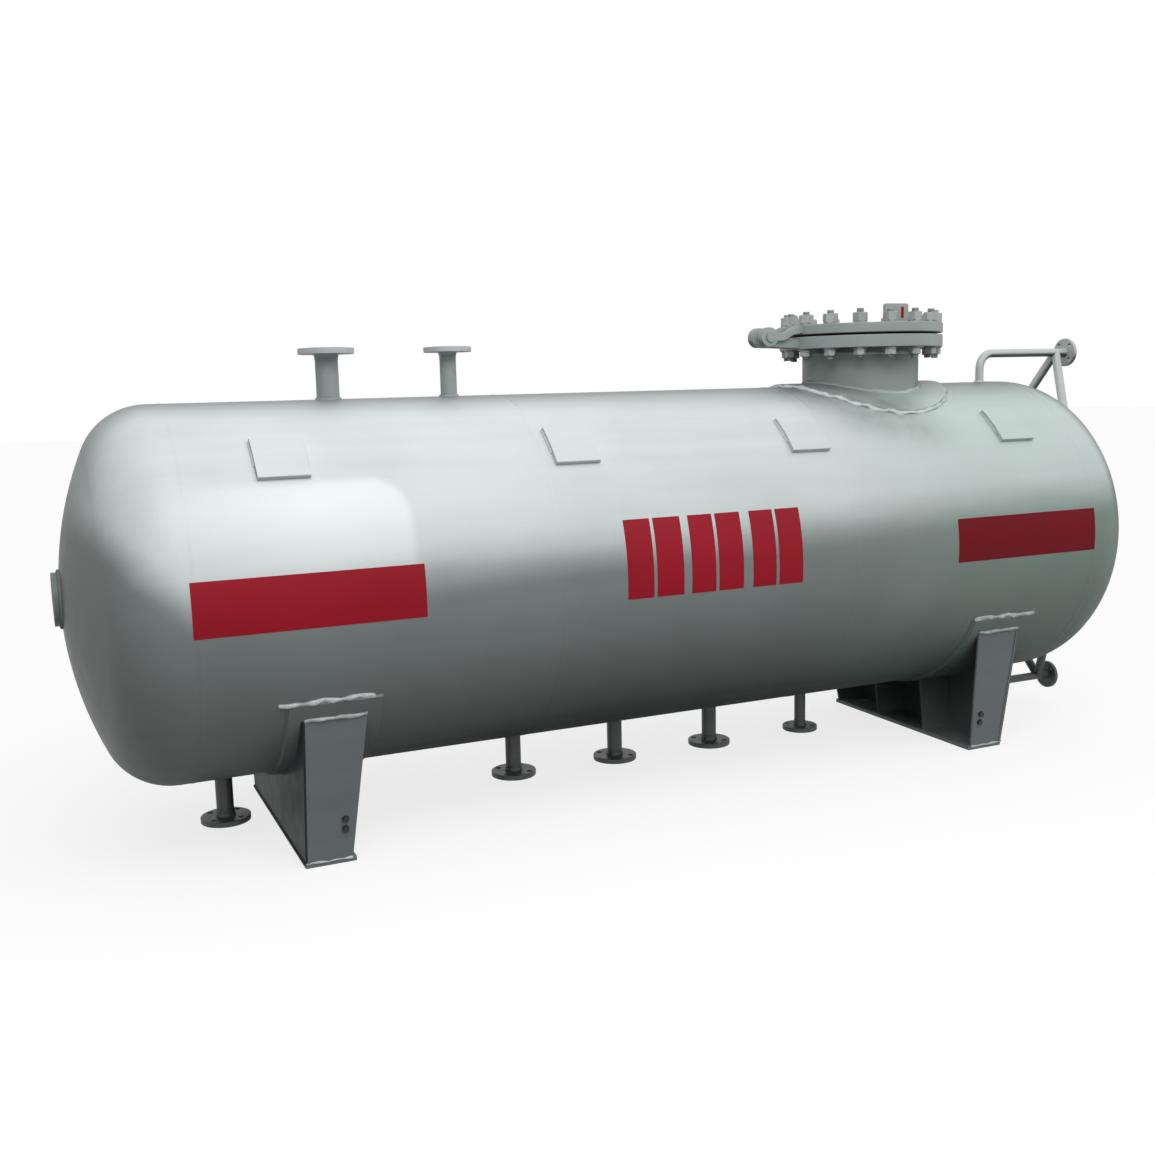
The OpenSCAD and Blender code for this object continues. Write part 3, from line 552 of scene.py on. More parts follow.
# The pad plate's paint takes the painted shadow of the manhole too.
pad_plate_coat = sprayed_coat(
    "pad_plate_aluminium_coat", (0.665, 0.730, 0.728, 1), (0.560, 0.620, 0.615, 1), rough=(0.38, 0.50), specular=0.25,
    edge_shade=0.7, shadow_and_tint=MANHOLE_SHADOW_GREY,
)
nodes["manhole_pad"].material_slots[0].material = pad_plate_coat
nodes["manhole_neck"].material_slots[0].material = shaded_neck_coat


def foot_line(x, radius, big, up=1):
    """Line on a cylinder of radius big about the shell axis, where a neck of that radius meets it."""
    line = []
    for a in range(0, 360, 2):
        dx, y = radius * math.cos(math.radians(a)), radius * math.sin(math.radians(a))
        line.append(Vector((x + dx, y, AXIS_Z + up * math.sqrt(big * big - y * y))))
    return line


def foot_weld(x, radius, big, leg, up=1, seed=1, ragged=0.0, span=None):
    """A fillet bead between a neck and the shell, leaning out from both."""

    def lean(spot):
        neck_side = Vector((spot.x - x, spot.y, 0)).normalized()
        return neck_side + off_axis(spot).normalized()

    line = foot_line(x, radius, big, up)
    if span:
        first, last = (round(share * len(line)) for share in span)
        line = [line[i % len(line)] for i in range(first, last + 1)]
    return weld_run(line, lean, leg * 1.7, leg * 0.62, closed=not span, pitch=0.007, seed=seed, ragged=ragged)


neck_beads = joined([
    foot_weld(MANHOLE_X, NECK_R + 0.002, PAD_TOP_R + 0.001, 0.012, seed=31, ragged=0.4),
    ring_weld((MANHOLE_X, 0, NECK_TOP), (0, 0, 1), NECK_R, 0.016, 0.0012, lean=1.0, seed=33),
])
neck_welds = made_piece("manhole_neck_welds", neck_beads, pad_plate_coat)
# The left part of the pad bead carries the painted highlight, the rest the shell paint.
for weld_name, span, coat in (("left", (0.25, 0.80), lit_bead_coat), ("right", (0.80, 1.25), shell_coat)):
    pad_bead = foot_weld(PAD_X, PAD_R + 0.001, SHELL_R + 0.003, 0.010, seed=32, ragged=0.7, span=span)
    pad_weld = made_piece(f"manhole_pad_weld_{weld_name}", pad_bead, coat)

# Manhole flange, gasket and cover.
# A forged weld neck ring with a tapered hub carries a flat round cover of 40 mm plate; a black
# sheet gasket lies between the raised faces, and the rims are turned with broken edges.
FLANGE_R, FLANGE_FACE_R, FLANGE_BORE = 0.320, 0.2675, 0.2145
FACE_Z, FLANGE_LOW, HUB_LOW = 1.640, 1.590, NECK_TOP
HUB_R, FACE_STEP = 0.2385, 0.0015
COVER_LOW, COVER_TOP = 1.644, 1.684


def rounded(profile, radius, steps=3):
    """A closed profile with its corners cut by short arcs."""
    result = []
    for i, spot in enumerate(profile):
        before = profile[i - 1] - spot
        after = profile[(i + 1) % len(profile)] - spot
        cut = min(radius, before.length * 0.45, after.length * 0.45)
        start, end = spot + before.normalized() * cut, spot + after.normalized() * cut
        for step in range(steps + 1):
            t = step / steps
            result.append(start * (1 - t) ** 2 + spot * (2 * t * (1 - t)) + end * t ** 2)
    return result


def turned(profile, steps):
    """A piece turned about its z axis from a closed profile of radius and height."""
    verts, faces, size = [], [], len(profile)
    for i in range(steps):
        a = 2 * math.pi * i / steps
        verts += [Vector((p.x * math.cos(a), p.x * math.sin(a), p.y)) for p in profile]
    for i in range(steps):
        j = (i + 1) % steps
        for k in range(size):
            n = (k + 1) % size
            faces.append((i * size + k, j * size + k, j * size + n, i * size + n))
    return verts, faces


def turned_disc(profile, steps):
    """A turned piece without a bore: an open profile from the axis out and back to the axis."""
    verts = [Vector((0, 0, profile[0].y)), Vector((0, 0, profile[-1].y))]
    faces, ring = [], profile[1:-1]
    size = len(ring)
    for i in range(steps):
        a = 2 * math.pi * i / steps
        verts += [Vector((p.x * math.cos(a), p.x * math.sin(a), p.y)) for p in ring]
    for i in range(steps):
        a, b = 2 + i * size, 2 + ((i + 1) % steps) * size
        for k in range(size - 1):
            faces.append((a + k, b + k, b + k + 1, a + k + 1))
        faces.append((0, b, a))
        faces.append((1, a + size - 1, b + size - 1))
    return verts, faces


def points(*pairs):
    return [Vector(pair) for pair in pairs]


ring_profile = rounded(points(
    (FLANGE_BORE, HUB_LOW), (NECK_R, HUB_LOW), (HUB_R, FLANGE_LOW), (FLANGE_R, FLANGE_LOW),
    (FLANGE_R, FACE_Z - FACE_STEP), (FLANGE_FACE_R, FACE_Z - FACE_STEP), (FLANGE_FACE_R, FACE_Z),
    (FLANGE_BORE, FACE_Z),
), 0.004)
over_manhole = Matrix.Translation((MANHOLE_X, 0, 0))
neck_ring = made_piece("manhole_neck_ring", moved(turned(ring_profile, 160), over_manhole), fitting_coat, crisp=35)
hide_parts("manhole_flange")

cover_edge = rounded(points(
    (0.1, COVER_LOW), (FLANGE_FACE_R, COVER_LOW), (FLANGE_FACE_R, COVER_LOW + FACE_STEP),
    (FLANGE_R, COVER_LOW + FACE_STEP), (FLANGE_R, COVER_TOP), (0.1, COVER_TOP),
), 0.004)[4:-4]
cover_profile = [Vector((0, COVER_LOW))] + cover_edge + [Vector((0, COVER_TOP))]
cover_shape = moved(turned_disc(cover_profile, 160), over_manhole)
cover_disc = made_piece("manhole_cover_plate", cover_shape, fitting_coat, crisp=35)
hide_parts("manhole_cover")

sheet_coat, sheet_tree, sheet_shader, sheet_place = new_coat("gasket_sheet", 0.0, 0.3)
sheet_fibre = noise(sheet_tree, stretched(sheet_tree, sheet_place, (90, 90, 600)), 4.0, 4)
sheet_black = mixed(sheet_tree, sheet_fibre, (0.012, 0.013, 0.013, 1), (0.035, 0.036, 0.036, 1))
sheet_tree.links.new(sheet_black, sheet_shader.inputs["Base Color"])
sheet_tree.links.new(ranged(sheet_tree, sheet_fibre, 0.3, 0.7, 0.62, 0.85), sheet_shader.inputs["Roughness"])
bumped(sheet_tree, sheet_shader, sheet_fibre, 0.0006)
nodes["manhole_gasket"].material_slots[0].material = sheet_coat

# Manhole studs and nuts.
# Sixteen M27 studs run through cover and flange, each with a heavy hexagon nut at both ends on a
# plain washer; the thread ends stand out of the nuts and all of it is painted over.
STUD_COUNT, STUD_CIRCLE, STUD_R = 16, 0.290, 0.0135
TOP_NUT, LOW_NUT = (0.050, 0.034), (0.041, 0.024)
WASHER_R, WASHER_TALL = 0.027, 0.004
STUD_END, STUD_TURN = 0.013, 8.0


def hexagon_nut(flats, tall, bore):
    """A hexagon nut standing on z = 0 with both rims chamfered."""
    steps = 48
    rims = []
    for i in range(steps):
        a = 2 * math.pi * i / steps
        off = (a + math.pi / 6) % (math.pi / 3) - math.pi / 6
        reach = flats / 2 / math.cos(off)
        dip = (reach - flats / 2) * 0.58
        rims.append((Vector((math.cos(a), math.sin(a), 0)), reach, dip))
    rows = []
    flat_ring = flats / 2 * 0.985
    rows.append([d * bore for d, reach, dip in rims])
    rows.append([d * flat_ring for d, reach, dip in rims])
    rows.append([d * reach + Vector((0, 0, 0.0004 + dip)) for d, reach, dip in rims])
    rows.append([d * reach + Vector((0, 0, tall - 0.0004 - dip)) for d, reach, dip in rims])
    rows.append([d * flat_ring + Vector((0, 0, tall)) for d, reach, dip in rims])
    rows.append([d * bore + Vector((0, 0, tall)) for d, reach, dip in rims])
    verts = [v for row in rows for v in row]
    faces = []
    for r in range(len(rows)):
        n = (r + 1) % len(rows)
        for i in range(steps):
            j = (i + 1) % steps
            faces.append((r * steps + i, r * steps + j, n * steps + j, n * steps + i))
    return verts, faces


def thread_end(radius, start, end, pitch=0.0035, steps=24):
    """A stud end with its thread ridges and a chamfered tip."""
    profile = [Vector((0, start)), Vector((radius, start))]
    z = start
    while z + pitch < end - 0.002:
        profile += points((radius, z + pitch * 0.25), (radius * 0.9, z + pitch * 0.6), (radius, z + pitch * 0.95))
        z += pitch
    profile += points((radius * 0.98, end - 0.002), (radius * 0.84, end), (0, end))
    return turned_disc(profile, steps)


def washer(radius, bore, tall):
    return turned(rounded(points((bore, 0), (radius, 0), (radius, tall), (bore, tall)), 0.0012, 2), 48)


stud_set = []
for number in range(STUD_COUNT):
    turn = math.radians(360 / STUD_COUNT * number + STUD_TURN)
    spot = Vector((MANHOLE_X + STUD_CIRCLE * math.cos(turn), STUD_CIRCLE * math.sin(turn), 0))
    spin = random.Random(400 + number)
    for base, out, (flats, tall) in ((COVER_TOP, 1, TOP_NUT), (FLANGE_LOW, -1, LOW_NUT)):
        across = math.radians(spin.uniform(0, 60))
        place = facing(spot + Vector((0, 0, base)), (0, 0, out), (math.cos(across), math.sin(across), 0))
        nut = moved(hexagon_nut(flats, tall, STUD_R), Matrix.Translation((0, 0, WASHER_TALL)))
        stud_set.append(moved(nut, place))
        stud_set.append(moved(washer(WASHER_R, STUD_R, WASHER_TALL), place))
        tip = WASHER_TALL + tall + STUD_END + spin.uniform(-0.003, 0.003)
        stud_set.append(moved(thread_end(STUD_R, 0.002, tip), place))
stud_coat = sprayed_coat(
    "stud_painted_steel", (0.56, 0.60, 0.59, 1), (0.34, 0.37, 0.365, 1), rough=(0.30, 0.48), metallic=0.2, specular=0.4,
    underside_shade=(0.085, 0.097, 0.094, 1), grain=8,
)
studs = made_piece("manhole_studs", joined(stud_set), stud_coat, crisp=32)

# Cover hinge.
# Two cranked flame-cut ears on the cover straddle two ears on the flange; a round pin with a
# head, a washer and a split pin goes through all four eyes at the left of the manhole.
PIN_X, PIN_Z, PIN_R = 0.520, 1.638, 0.014
EYE_R, EAR_THICK = 0.038, 0.016
EAR_RIM = 0.1427


def eased(outline, radius, steps=4):
    """An outline with its sharp bends rounded and its many-sided arcs left as they are."""
    result = []
    for i, spot in enumerate(outline):
        before, after = outline[i - 1] - spot, outline[(i + 1) % len(outline)] - spot
        bend = math.pi - before.angle(after)
        cut = min(radius, before.length * 0.45, after.length * 0.45)
        if bend < 0.25:
            result.append(spot)
            continue
        start, end = spot + before.normalized() * cut, spot + after.normalized() * cut
        for step in range(steps + 1):
            t = step / steps
            result.append(start * (1 - t) ** 2 + spot * (2 * t * (1 - t)) + end * t ** 2)
    return result


bar_turn = math.degrees(math.asin(0.016 / EYE_R))
cover_ear = arc_points(EYE_R, bar_turn, 360 - bar_turn, 40) + points(
    (0.063, -0.016), (0.112, 0.010), (EAR_RIM, 0.010), (EAR_RIM, 0.042), (0.105, 0.042), (0.063, 0.016)
)
flange_turn = math.degrees(math.asin(0.005 / EYE_R))
flange_ear = arc_points(EYE_R, -flange_turn, 270, 40) + points((EAR_RIM, -0.0435), (EAR_RIM, -0.005))
cover_ear = eased(cover_ear, 0.014)
pin_hole = circle(PIN_R + 0.0004, 32)
ear_parts, flange_ear_parts = [], []
for y in (-0.044, 0.044):
    place = facing((PIN_X, y, PIN_Z), (0, -1, 0), (1, 0, 0))
    ear_parts.append(moved(flat_plate(cover_ear, [pin_hole], EAR_THICK, 0.003), place))
    for side in (-1, 1):
        run = [Vector((PIN_X + 0.141, y + side * 0.009, PIN_Z + z)) for z in (0.012, 0.040)]
        ear_parts.append(weld_run(run, (-1, side, 0), 0.012, 0.005, seed=50))
for y in (-0.027, 0.027):
    place = facing((PIN_X, y, PIN_Z), (0, -1, 0), (1, 0, 0))
    flange_ear_parts.append(moved(flat_plate(flange_ear, [pin_hole], EAR_THICK, 0.003), place))
cover_hinge_ears = made_piece("cover_hinge_ears", joined(ear_parts), fitting_coat, crisp=35)
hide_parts("cover_ears")
flange_hinge_ears = made_piece("flange_hinge_ears", joined(flange_ear_parts), fitting_coat, crisp=35)
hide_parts("flange_ears")

PIN_LONG = 0.120
pin_profile = rounded(points(
    (0.0, -PIN_LONG / 2), (0.018, -PIN_LONG / 2), (0.018, -PIN_LONG / 2 + 0.007), (PIN_R, -PIN_LONG / 2 + 0.007),
    (PIN_R, PIN_LONG / 2), (0.0, PIN_LONG / 2),
), 0.0015)
pin_profile = [p for p in pin_profile if p.x > 0.001]
pin_profile = [Vector((0, -PIN_LONG / 2))] + pin_profile + [Vector((0, PIN_LONG / 2))]
pin_place = facing((PIN_X, 0, PIN_Z), (0, 1, 0), (1, 0, 0))
pin_parts = [moved(turned_disc(pin_profile, 48), pin_place)]
pin_parts.append(moved(washer(0.022, PIN_R, 0.003), pin_place @ Matrix.Translation((0, 0, 0.0525))))
split_pin = thread_end(0.0022, -0.022, 0.022, pitch=0.05, steps=12)
pin_parts.append(moved(split_pin, facing((PIN_X, 0.0575, PIN_Z), (0.3, 0, 1), (0, 1, 0))))
hinge_steel = sprayed_coat(
    "hinge_pin_steel", (0.42, 0.45, 0.445, 1), (0.28, 0.305, 0.30, 1), rough=(0.28, 0.42), metallic=0.3, specular=0.4
)
hinge_bolt = made_piece("hinge_pin_bolt", joined(pin_parts), hinge_steel, crisp=35)
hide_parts("hinge_pin")

# Cover lug.
# An upright piece of 14 mm plate with rounded upper corners, welded along both sides to the front
# of the cover, with a short dab of red marking paint on its face.
LUG_Y, LUG_WIDE, LUG_TALL, LUG_THICK = -0.222, 0.112, 0.072, 0.014
LUG_ROUND = 0.009
lug_corner = LUG_WIDE / 2 - LUG_ROUND, LUG_TALL - LUG_ROUND
lug_outline = points((-LUG_WIDE / 2, 0), (LUG_WIDE / 2, 0))
lug_outline += arc_points(LUG_ROUND, 0, 90, 15, lug_corner[0], lug_corner[1])
lug_outline += arc_points(LUG_ROUND, 90, 180, 15, -lug_corner[0], lug_corner[1])
lug_plate = flat_plate(lug_outline, [], LUG_THICK, 0.002)
lug_place = facing((MANHOLE_X, LUG_Y, COVER_TOP), (0, -1, 0), (1, 0, 0))
lug_parts = [moved(lug_plate, lug_place)]
for side in (-1, 1):
    run = [Vector((MANHOLE_X + end * LUG_WIDE / 2, LUG_Y + side * LUG_THICK / 2, COVER_TOP)) for end in (-1, 1)]
    lug_parts.append(weld_run(run, (0, side, 1), 0.014, 0.006, seed=60))
cover_eye = made_piece("cover_lug_plate", joined(lug_parts), fitting_coat, crisp=35)
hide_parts("cover_lug")

# Top nozzles.
# Two short pipes set into the crown of the shell, each with a welded neck flange whose raised
# face stands open; the joint between pipe and hub and the foot on the shell are welded.
TOP_FACE_Z = 1.617
FLANGE_EDGE, RAISED_FACE, HUB_TALL, HUB_GROW = 0.002, 0.002, 0.016, 0.004


def nozzle_flange(flange_r, thick, circle_r, hole_r, count, pipe_r, wall):
    """A weld neck flange with its face at z = 0 and its hub below."""
    bore = pipe_r - wall
    face_r = circle_r - hole_r - 0.003
    holes = [circle(bore, 48)] + hole_ring(count, circle_r, hole_r)
    disc = flat_plate(circle(flange_r, 96), holes, thick - RAISED_FACE, FLANGE_EDGE)
    disc = moved(disc, Matrix.Translation((0, 0, -(thick + RAISED_FACE) / 2)))
    face = turned(rounded(points((bore, -0.004), (face_r, -0.004), (face_r, 0), (bore, 0)), 0.0008, 2), 96)
    hub = turned(rounded(points(
        (bore, -thick - HUB_TALL), (pipe_r, -thick - HUB_TALL), (pipe_r + HUB_GROW * 0.75, -thick - 0.005),
        (pipe_r + HUB_GROW, -thick + 0.002), (bore, -thick + 0.002),
    ), 0.003), 96)
    return joined([disc, face, hub])


big_flange = nozzle_flange(0.0925, 0.022, 0.0725, 0.009, 8, 0.038, 0.006)
common_flange = nozzle_flange(0.0825, 0.020, 0.0625, 0.009, 4, 0.0285, 0.005)
top_nozzle_coat = sprayed_coat(
    "top_nozzle_coat", (0.560, 0.598, 0.614, 1), (0.440, 0.472, 0.484, 1), rough=(0.36, 0.50), specular=0.3,
    underside_shade=(0.085, 0.095, 0.095, 1), edge_shade=0.6,
)
# A darker copy of the nozzle paint: painted shade on the nozzle necks and their welds under the flanges.
top_neck_shaded_coat = sprayed_coat(
    "top_neck_shaded_coat", (0.370, 0.400, 0.402, 1), (0.285, 0.310, 0.311, 1), rough=(0.38, 0.52), specular=0.25, edge_shade=0.6
)
for number, x, flange, thick, pipe_r in (
    (1, -1.190, big_flange, 0.022, 0.038), (2, -0.766, common_flange, 0.020, 0.0285),
):
    nodes[f"top_neck_{number}"].material_slots[0].material = top_neck_shaded_coat
    top_flange = made_piece(
        f"top_flange_{number}_forging", moved(flange, Matrix.Translation((x, 0, TOP_FACE_Z))), top_nozzle_coat, crisp=35
    )
    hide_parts(f"top_flange_{number}")
    foot = foot_weld(x, pipe_r + 0.001, SHELL_R + 0.001, 0.007, seed=70 + number)
    neck_ring_z = TOP_FACE_Z - thick - HUB_TALL
    seam = ring_weld((x, 0, neck_ring_z), (0, 0, 1), pipe_r, 0.010, 0.0006, lean=1.0, seed=72 + number)
    top_weld = made_piece(f"top_nozzle_{number}_welds", joined([foot, seam]), top_neck_shaded_coat)

# Bottom nozzles and drain.
# Four pipes and a smaller drain pipe under the shell, each ending in an open weld neck flange
# that faces the ground; they were left in their dark grey undercoat.
LOW_FACE_Z, LOW_THICK = 0.049, 0.020
LOW_PLACES = (-1.614, -0.570, -0.152, 0.266)
low_coat = sprayed_coat(
    "undercoat_dark_grey", (0.145, 0.156, 0.155, 1), (0.088, 0.096, 0.096, 1), rough=(0.36, 0.52), metallic=0.15,
    specular=0.4,
)
drain_forging = nozzle_flange(0.070, 0.020, 0.050, 0.009, 4, 0.0225, 0.004)
low_nozzles = [
    (f"bottom_flange_{n}", f"bottom_neck_{n}", x, common_flange, 0.0285) for n, x in enumerate(LOW_PLACES, 1)
]
low_nozzles.append(("drain_flange", "drain_neck", 0.698, drain_forging, 0.0225))
for number, (flange_node, neck_node, x, flange, pipe_r) in enumerate(low_nozzles):
    nodes[neck_node].material_slots[0].material = low_coat
    low_flange = made_piece(
        flange_node + "_forging", moved(flange, facing((x, 0, LOW_FACE_Z), (0, 0, -1), (1, 0, 0))), low_coat, crisp=35
    )
    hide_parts(flange_node)
    foot = foot_weld(x, pipe_r + 0.001, SHELL_R + 0.001, 0.008, up=-1, seed=80 + number)
    hub_end = (x, 0, LOW_FACE_Z + LOW_THICK + HUB_TALL)
    seam = ring_weld(hub_end, (0, 0, -1), pipe_r, 0.010, 0.0012, lean=1.0, seed=90 + number)
    low_weld = made_piece(neck_node + "_welds", joined([foot, seam]), low_coat)

# Gauge connections.
# Bent 34 mm pipes at the right end, one above and one below the shell, carry small flanges for a
# level gauge; two round bars brace each of them down to the head.
GAUGE_RISER_X, GAUGE_PIPE_R, GAUGE_THICK = 1.602, 0.017, 0.018
gauge_coat = sprayed_coat(
    "gauge_aluminium_coat", (0.690, 0.745, 0.730, 1), (0.550, 0.600, 0.585, 1), rough=(0.30, 0.44), specular=0.4,
    underside_shade=(0.040, 0.046, 0.045, 1), underside_shade_span=(0.15, -0.50), edge_shade=0.4,
)
gauge_forging = nozzle_flange(0.060, GAUGE_THICK, 0.0425, 0.007, 4, GAUGE_PIPE_R, 0.004)
for level, face_x, z, up, coat, slot in (
    ("upper", 2.0919, 1.565, 1, gauge_coat, "silver_paint"), ("lower", 2.0509, 0.123, -1, low_coat, "under_paint"),
):
    for part in ("pipe", "braces"):
        nodes[f"gauge_{part}_{level}"].material_slots[0].material = coat
    place = facing((face_x, 0, z), (1, 0, 0), (0, 1, 0))
    gauge_flange = made_piece(f"gauge_flange_{level}_forging", moved(gauge_forging, place), coat, crisp=35)
    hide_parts(f"gauge_flange_{level}")
    gauge_beads = [
        foot_weld(GAUGE_RISER_X, GAUGE_PIPE_R + 0.001, SHELL_R + 0.001, 0.007, up=up, seed=100),
        ring_weld((face_x - GAUGE_THICK - HUB_TALL, 0, z), (1, 0, 0), GAUGE_PIPE_R, 0.009, 0.0012, lean=1.0, seed=101),
    ]
    gauge_weld = made_piece(f"gauge_{level}_welds", joined(gauge_beads), coat)

# Saddles.
# Each saddle is cut from plate: a base with anchor holes, an upright web at the outer side, two
# leaning outer ribs with earthing screws and two inner ribs, under a rolled wear plate.
WEAR_IN, WEAR_OUT, WEAR_HALF = 0.6123, 0.6223, math.radians(63)
SEAT_R, SEAT_HALF = 0.6226, math.radians(57)
BASE_HALF, BASE_WIDE, BASE_TALL, WEB_THICK = 0.440, 0.164, 0.016, 0.010
RIB_FOOT, RIB_SLOPE, RIB_LEAN = 0.152, 0.1, math.atan(0.1713)
HORN_Y, HORN_Z = SEAT_R * math.sin(SEAT_HALF), AXIS_Z - SEAT_R * math.cos(SEAT_HALF)
WEAR_ENDS, WEAR_BEAD_R, SEAT_BEAD_R = (-0.044, 0.244), 0.6145, 0.6225
ANCHOR_X, ANCHOR_YS, ANCHOR_R = 0.082, (-0.36, 0.36), 0.012
INNER_RIB_Y, EARTH_X, EARTH_HEIGHTS = 0.150, RIB_FOOT - 0.024, (0.118, 0.152)
saddle_coat = sprayed_coat(
    "saddle_grey_coat", (0.208, 0.240, 0.246, 1), (0.158, 0.184, 0.189, 1), rough=(0.38, 0.52), specular=0.3
)
# The earth screws are real fittings, but their near-black colour is painted shade, the dark of the saddle's inside seen
# through the holes.
shaded_screw_coat = sprayed_coat(
    "earth_screw_painted_shade", (0.060, 0.064, 0.064, 1), (0.028, 0.030, 0.030, 1), rough=(0.35, 0.5), metallic=0.3, grain=20
)
# Webs, inner ribs and their welds take copies of the saddle grey set to painted shade: near black on the left saddle's
# web, which faces away from the light, and a little darker and greener inside the right saddle, under the tank.
near_web_shade_coat = sprayed_coat(
    "web_painted_shade_grey", (0.042, 0.050, 0.052, 1), (0.030, 0.036, 0.037, 1), rough=(0.44, 0.58), metallic=0.0, specular=0.1
)
far_web_shade_coat = sprayed_coat(
    "far_web_painted_shade_grey", (0.190, 0.224, 0.212, 1), (0.140, 0.165, 0.156, 1), rough=(0.44, 0.58), metallic=0.0,
    specular=0.1,
)
fresh_bead_coat = sprayed_coat(
    "fresh_bead_coat", (0.68, 0.72, 0.72, 1), (0.27, 0.29, 0.29, 1), rough=(0.26, 0.42), metallic=0.15, specular=0.5,
    grain=14,
)


def slot_outline(x, y, half, radius):
    return arc_points(radius, -90, 90, 12, x + half, y) + arc_points(radius, 90, 270, 12, x - half, y)


def swept(rings):
    """A closed skin over a row of like rings of points, with flat ends."""
    size = len(rings[0])
    verts = [spot for ring in rings for spot in ring]
    faces = [tuple(range(size)), tuple(range((len(rings) - 1) * size, len(rings) * size))]
    for i in range(len(rings) - 1):
        for k in range(size):
            n = (k + 1) % size
            faces.append((i * size + k, i * size + n, (i + 1) * size + n, (i + 1) * size + k))
    return verts, faces


def rolled_plate(x0, x1, inner, outer, start, end, edge, steps):
    """A plate rolled round the shell axis between two angles from straight down, edges rounded."""
    full = rounded(points((x0, inner), (x1, inner), (x1, outer), (x0, outer)), edge, 2)
    x0, x1, low_outer = x0 + edge, x1 - edge, outer - edge
    small = rounded(points((x0, inner), (x1, inner), (x1, low_outer), (x0, low_outer)), edge, 2)
    ease = edge / outer
    turns = [(start, small)]
    turns += [(start + ease + (end - start - 2 * ease) * i / steps, full) for i in range(steps + 1)]
    turns.append((end, small))
    return swept([[belly_spot(p.x, t, p.y) for p in ring] for t, ring in turns])


for side_name, web_x, inward, inner_coat, bead_span in (
    ("left", -1.443, 1, near_web_shade_coat, (-0.074, 0.222)), ("right", 1.363, -1, far_web_shade_coat, (-0.048, 0.250)),
):
    stand = Matrix.Translation((web_x, 0, 0)) @ Matrix.Diagonal((inward, 1, 1, 1))
    base_corners = points((0, -BASE_HALF), (BASE_WIDE, -BASE_HALF), (BASE_WIDE, BASE_HALF), (0, BASE_HALF))
    if side_name == "left":
        anchor_holes = [circle(ANCHOR_R, 32, ANCHOR_X, y) for y in ANCHOR_YS]
    else:
        anchor_holes = [slot_outline(ANCHOR_X, y, 0.018, ANCHOR_R) for y in ANCHOR_YS]
    base = flat_plate(rounded(base_corners, 0.004), anchor_holes, BASE_TALL, 0.002)
    base = moved(base, stand @ Matrix.Translation((0, 0, BASE_TALL / 2)))
    base_piece = made_piece(f"{side_name}_saddle_base", base, saddle_coat, crisp=35)
    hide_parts(f"{side_name}_base_plate")

    web_outline = points((-BASE_HALF, BASE_TALL), (BASE_HALF, BASE_TALL))
    for i in range(97):
        t = SEAT_HALF - 2 * SEAT_HALF * i / 96
        web_outline.append(Vector((SEAT_R * math.sin(t), AXIS_Z - SEAT_R * math.cos(t))))
    web = flat_plate(web_outline, [], WEB_THICK, 0.0015)
    web = moved(web, stand @ facing((WEB_THICK / 2, 0, 0), (1, 0, 0), (0, 1, 0)))
    web_piece = made_piece(f"{side_name}_saddle_web", web, inner_coat, crisp=35)
    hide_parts(f"{side_name}_web")

    rib_tall = HORN_Z - 0.006 - BASE_TALL
    rib_long = rib_tall / math.cos(RIB_LEAN)
    rib_outline = points(
        (WEB_THICK, 0), (RIB_FOOT, 0), (RIB_FOOT + RIB_SLOPE * rib_tall, rib_long), (WEB_THICK, rib_long)
    )
    earth_rises = [(z - BASE_TALL) / math.cos(RIB_LEAN) for z in EARTH_HEIGHTS]
    earth_holes = [circle(0.0065, 24, EARTH_X, rise) for rise in earth_rises]
    inner_tall = AXIS_Z - math.sqrt(SEAT_R ** 2 - INNER_RIB_Y ** 2) - BASE_TALL
    inner_outline = points(
        (WEB_THICK, 0), (RIB_FOOT, 0), (RIB_FOOT + RIB_SLOPE * inner_tall, inner_tall), (WEB_THICK, inner_tall)
    )
    rib_y = BASE_HALF - WEB_THICK / 2
    rib_parts, inner_parts = [], []
    for back in (-1, 1):
        lean_out = (0, -math.cos(RIB_LEAN), back * math.sin(RIB_LEAN))
        rib = flat_plate(rib_outline, earth_holes, WEB_THICK, 0.0018)
        rib_parts.append(moved(rib, stand @ facing((0, back * rib_y, BASE_TALL), lean_out, (1, 0, 0))))
        inner = flat_plate(inner_outline, [], WEB_THICK, 0.0015)
        inner_parts.append(moved(inner, stand @ facing((0, back * INNER_RIB_Y, BASE_TALL), (0, -1, 0), (1, 0, 0))))
    rib_piece = made_piece(f"{side_name}_saddle_ribs", joined(rib_parts), saddle_coat, crisp=35)
    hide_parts(f"{side_name}_ribs")
    inner_piece = made_piece(f"{side_name}_saddle_inner_ribs", joined(inner_parts), inner_coat, crisp=35)

    screws = []
    for back in (-1, 1):
        lean_up = Vector((0, back * math.sin(RIB_LEAN), math.cos(RIB_LEAN)))
        face_out = Vector((0, back * math.cos(RIB_LEAN), -math.sin(RIB_LEAN)))
        for rise in earth_rises:
            seat = Vector((EARTH_X, back * rib_y, BASE_TALL)) + lean_up * rise + face_out * WEB_THICK / 2
            place = stand @ facing(seat, face_out, (1, 0, 0))
            screws.append(moved(washer(0.012, 0.006, 0.002), place))
            screws.append(moved(hexagon_nut(0.019, 0.007, 0.004), place @ Matrix.Translation((0, 0, 0.002))))
            screws.append(moved(thread_end(0.006, -0.016, 0.0085, pitch=0.05), place))
    screw_piece = made_piece(f"{side_name}_saddle_earth_screws", joined(screws), shaded_screw_coat, crisp=32)

    wear = rolled_plate(*WEAR_ENDS, WEAR_IN, WEAR_OUT, -WEAR_HALF, WEAR_HALF, 0.0025, 96)
    wear_piece = made_piece(f"{side_name}_saddle_wear_plate", moved(wear, stand), shell_coat, crisp=35)
    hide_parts(f"{side_name}_wear_plate")

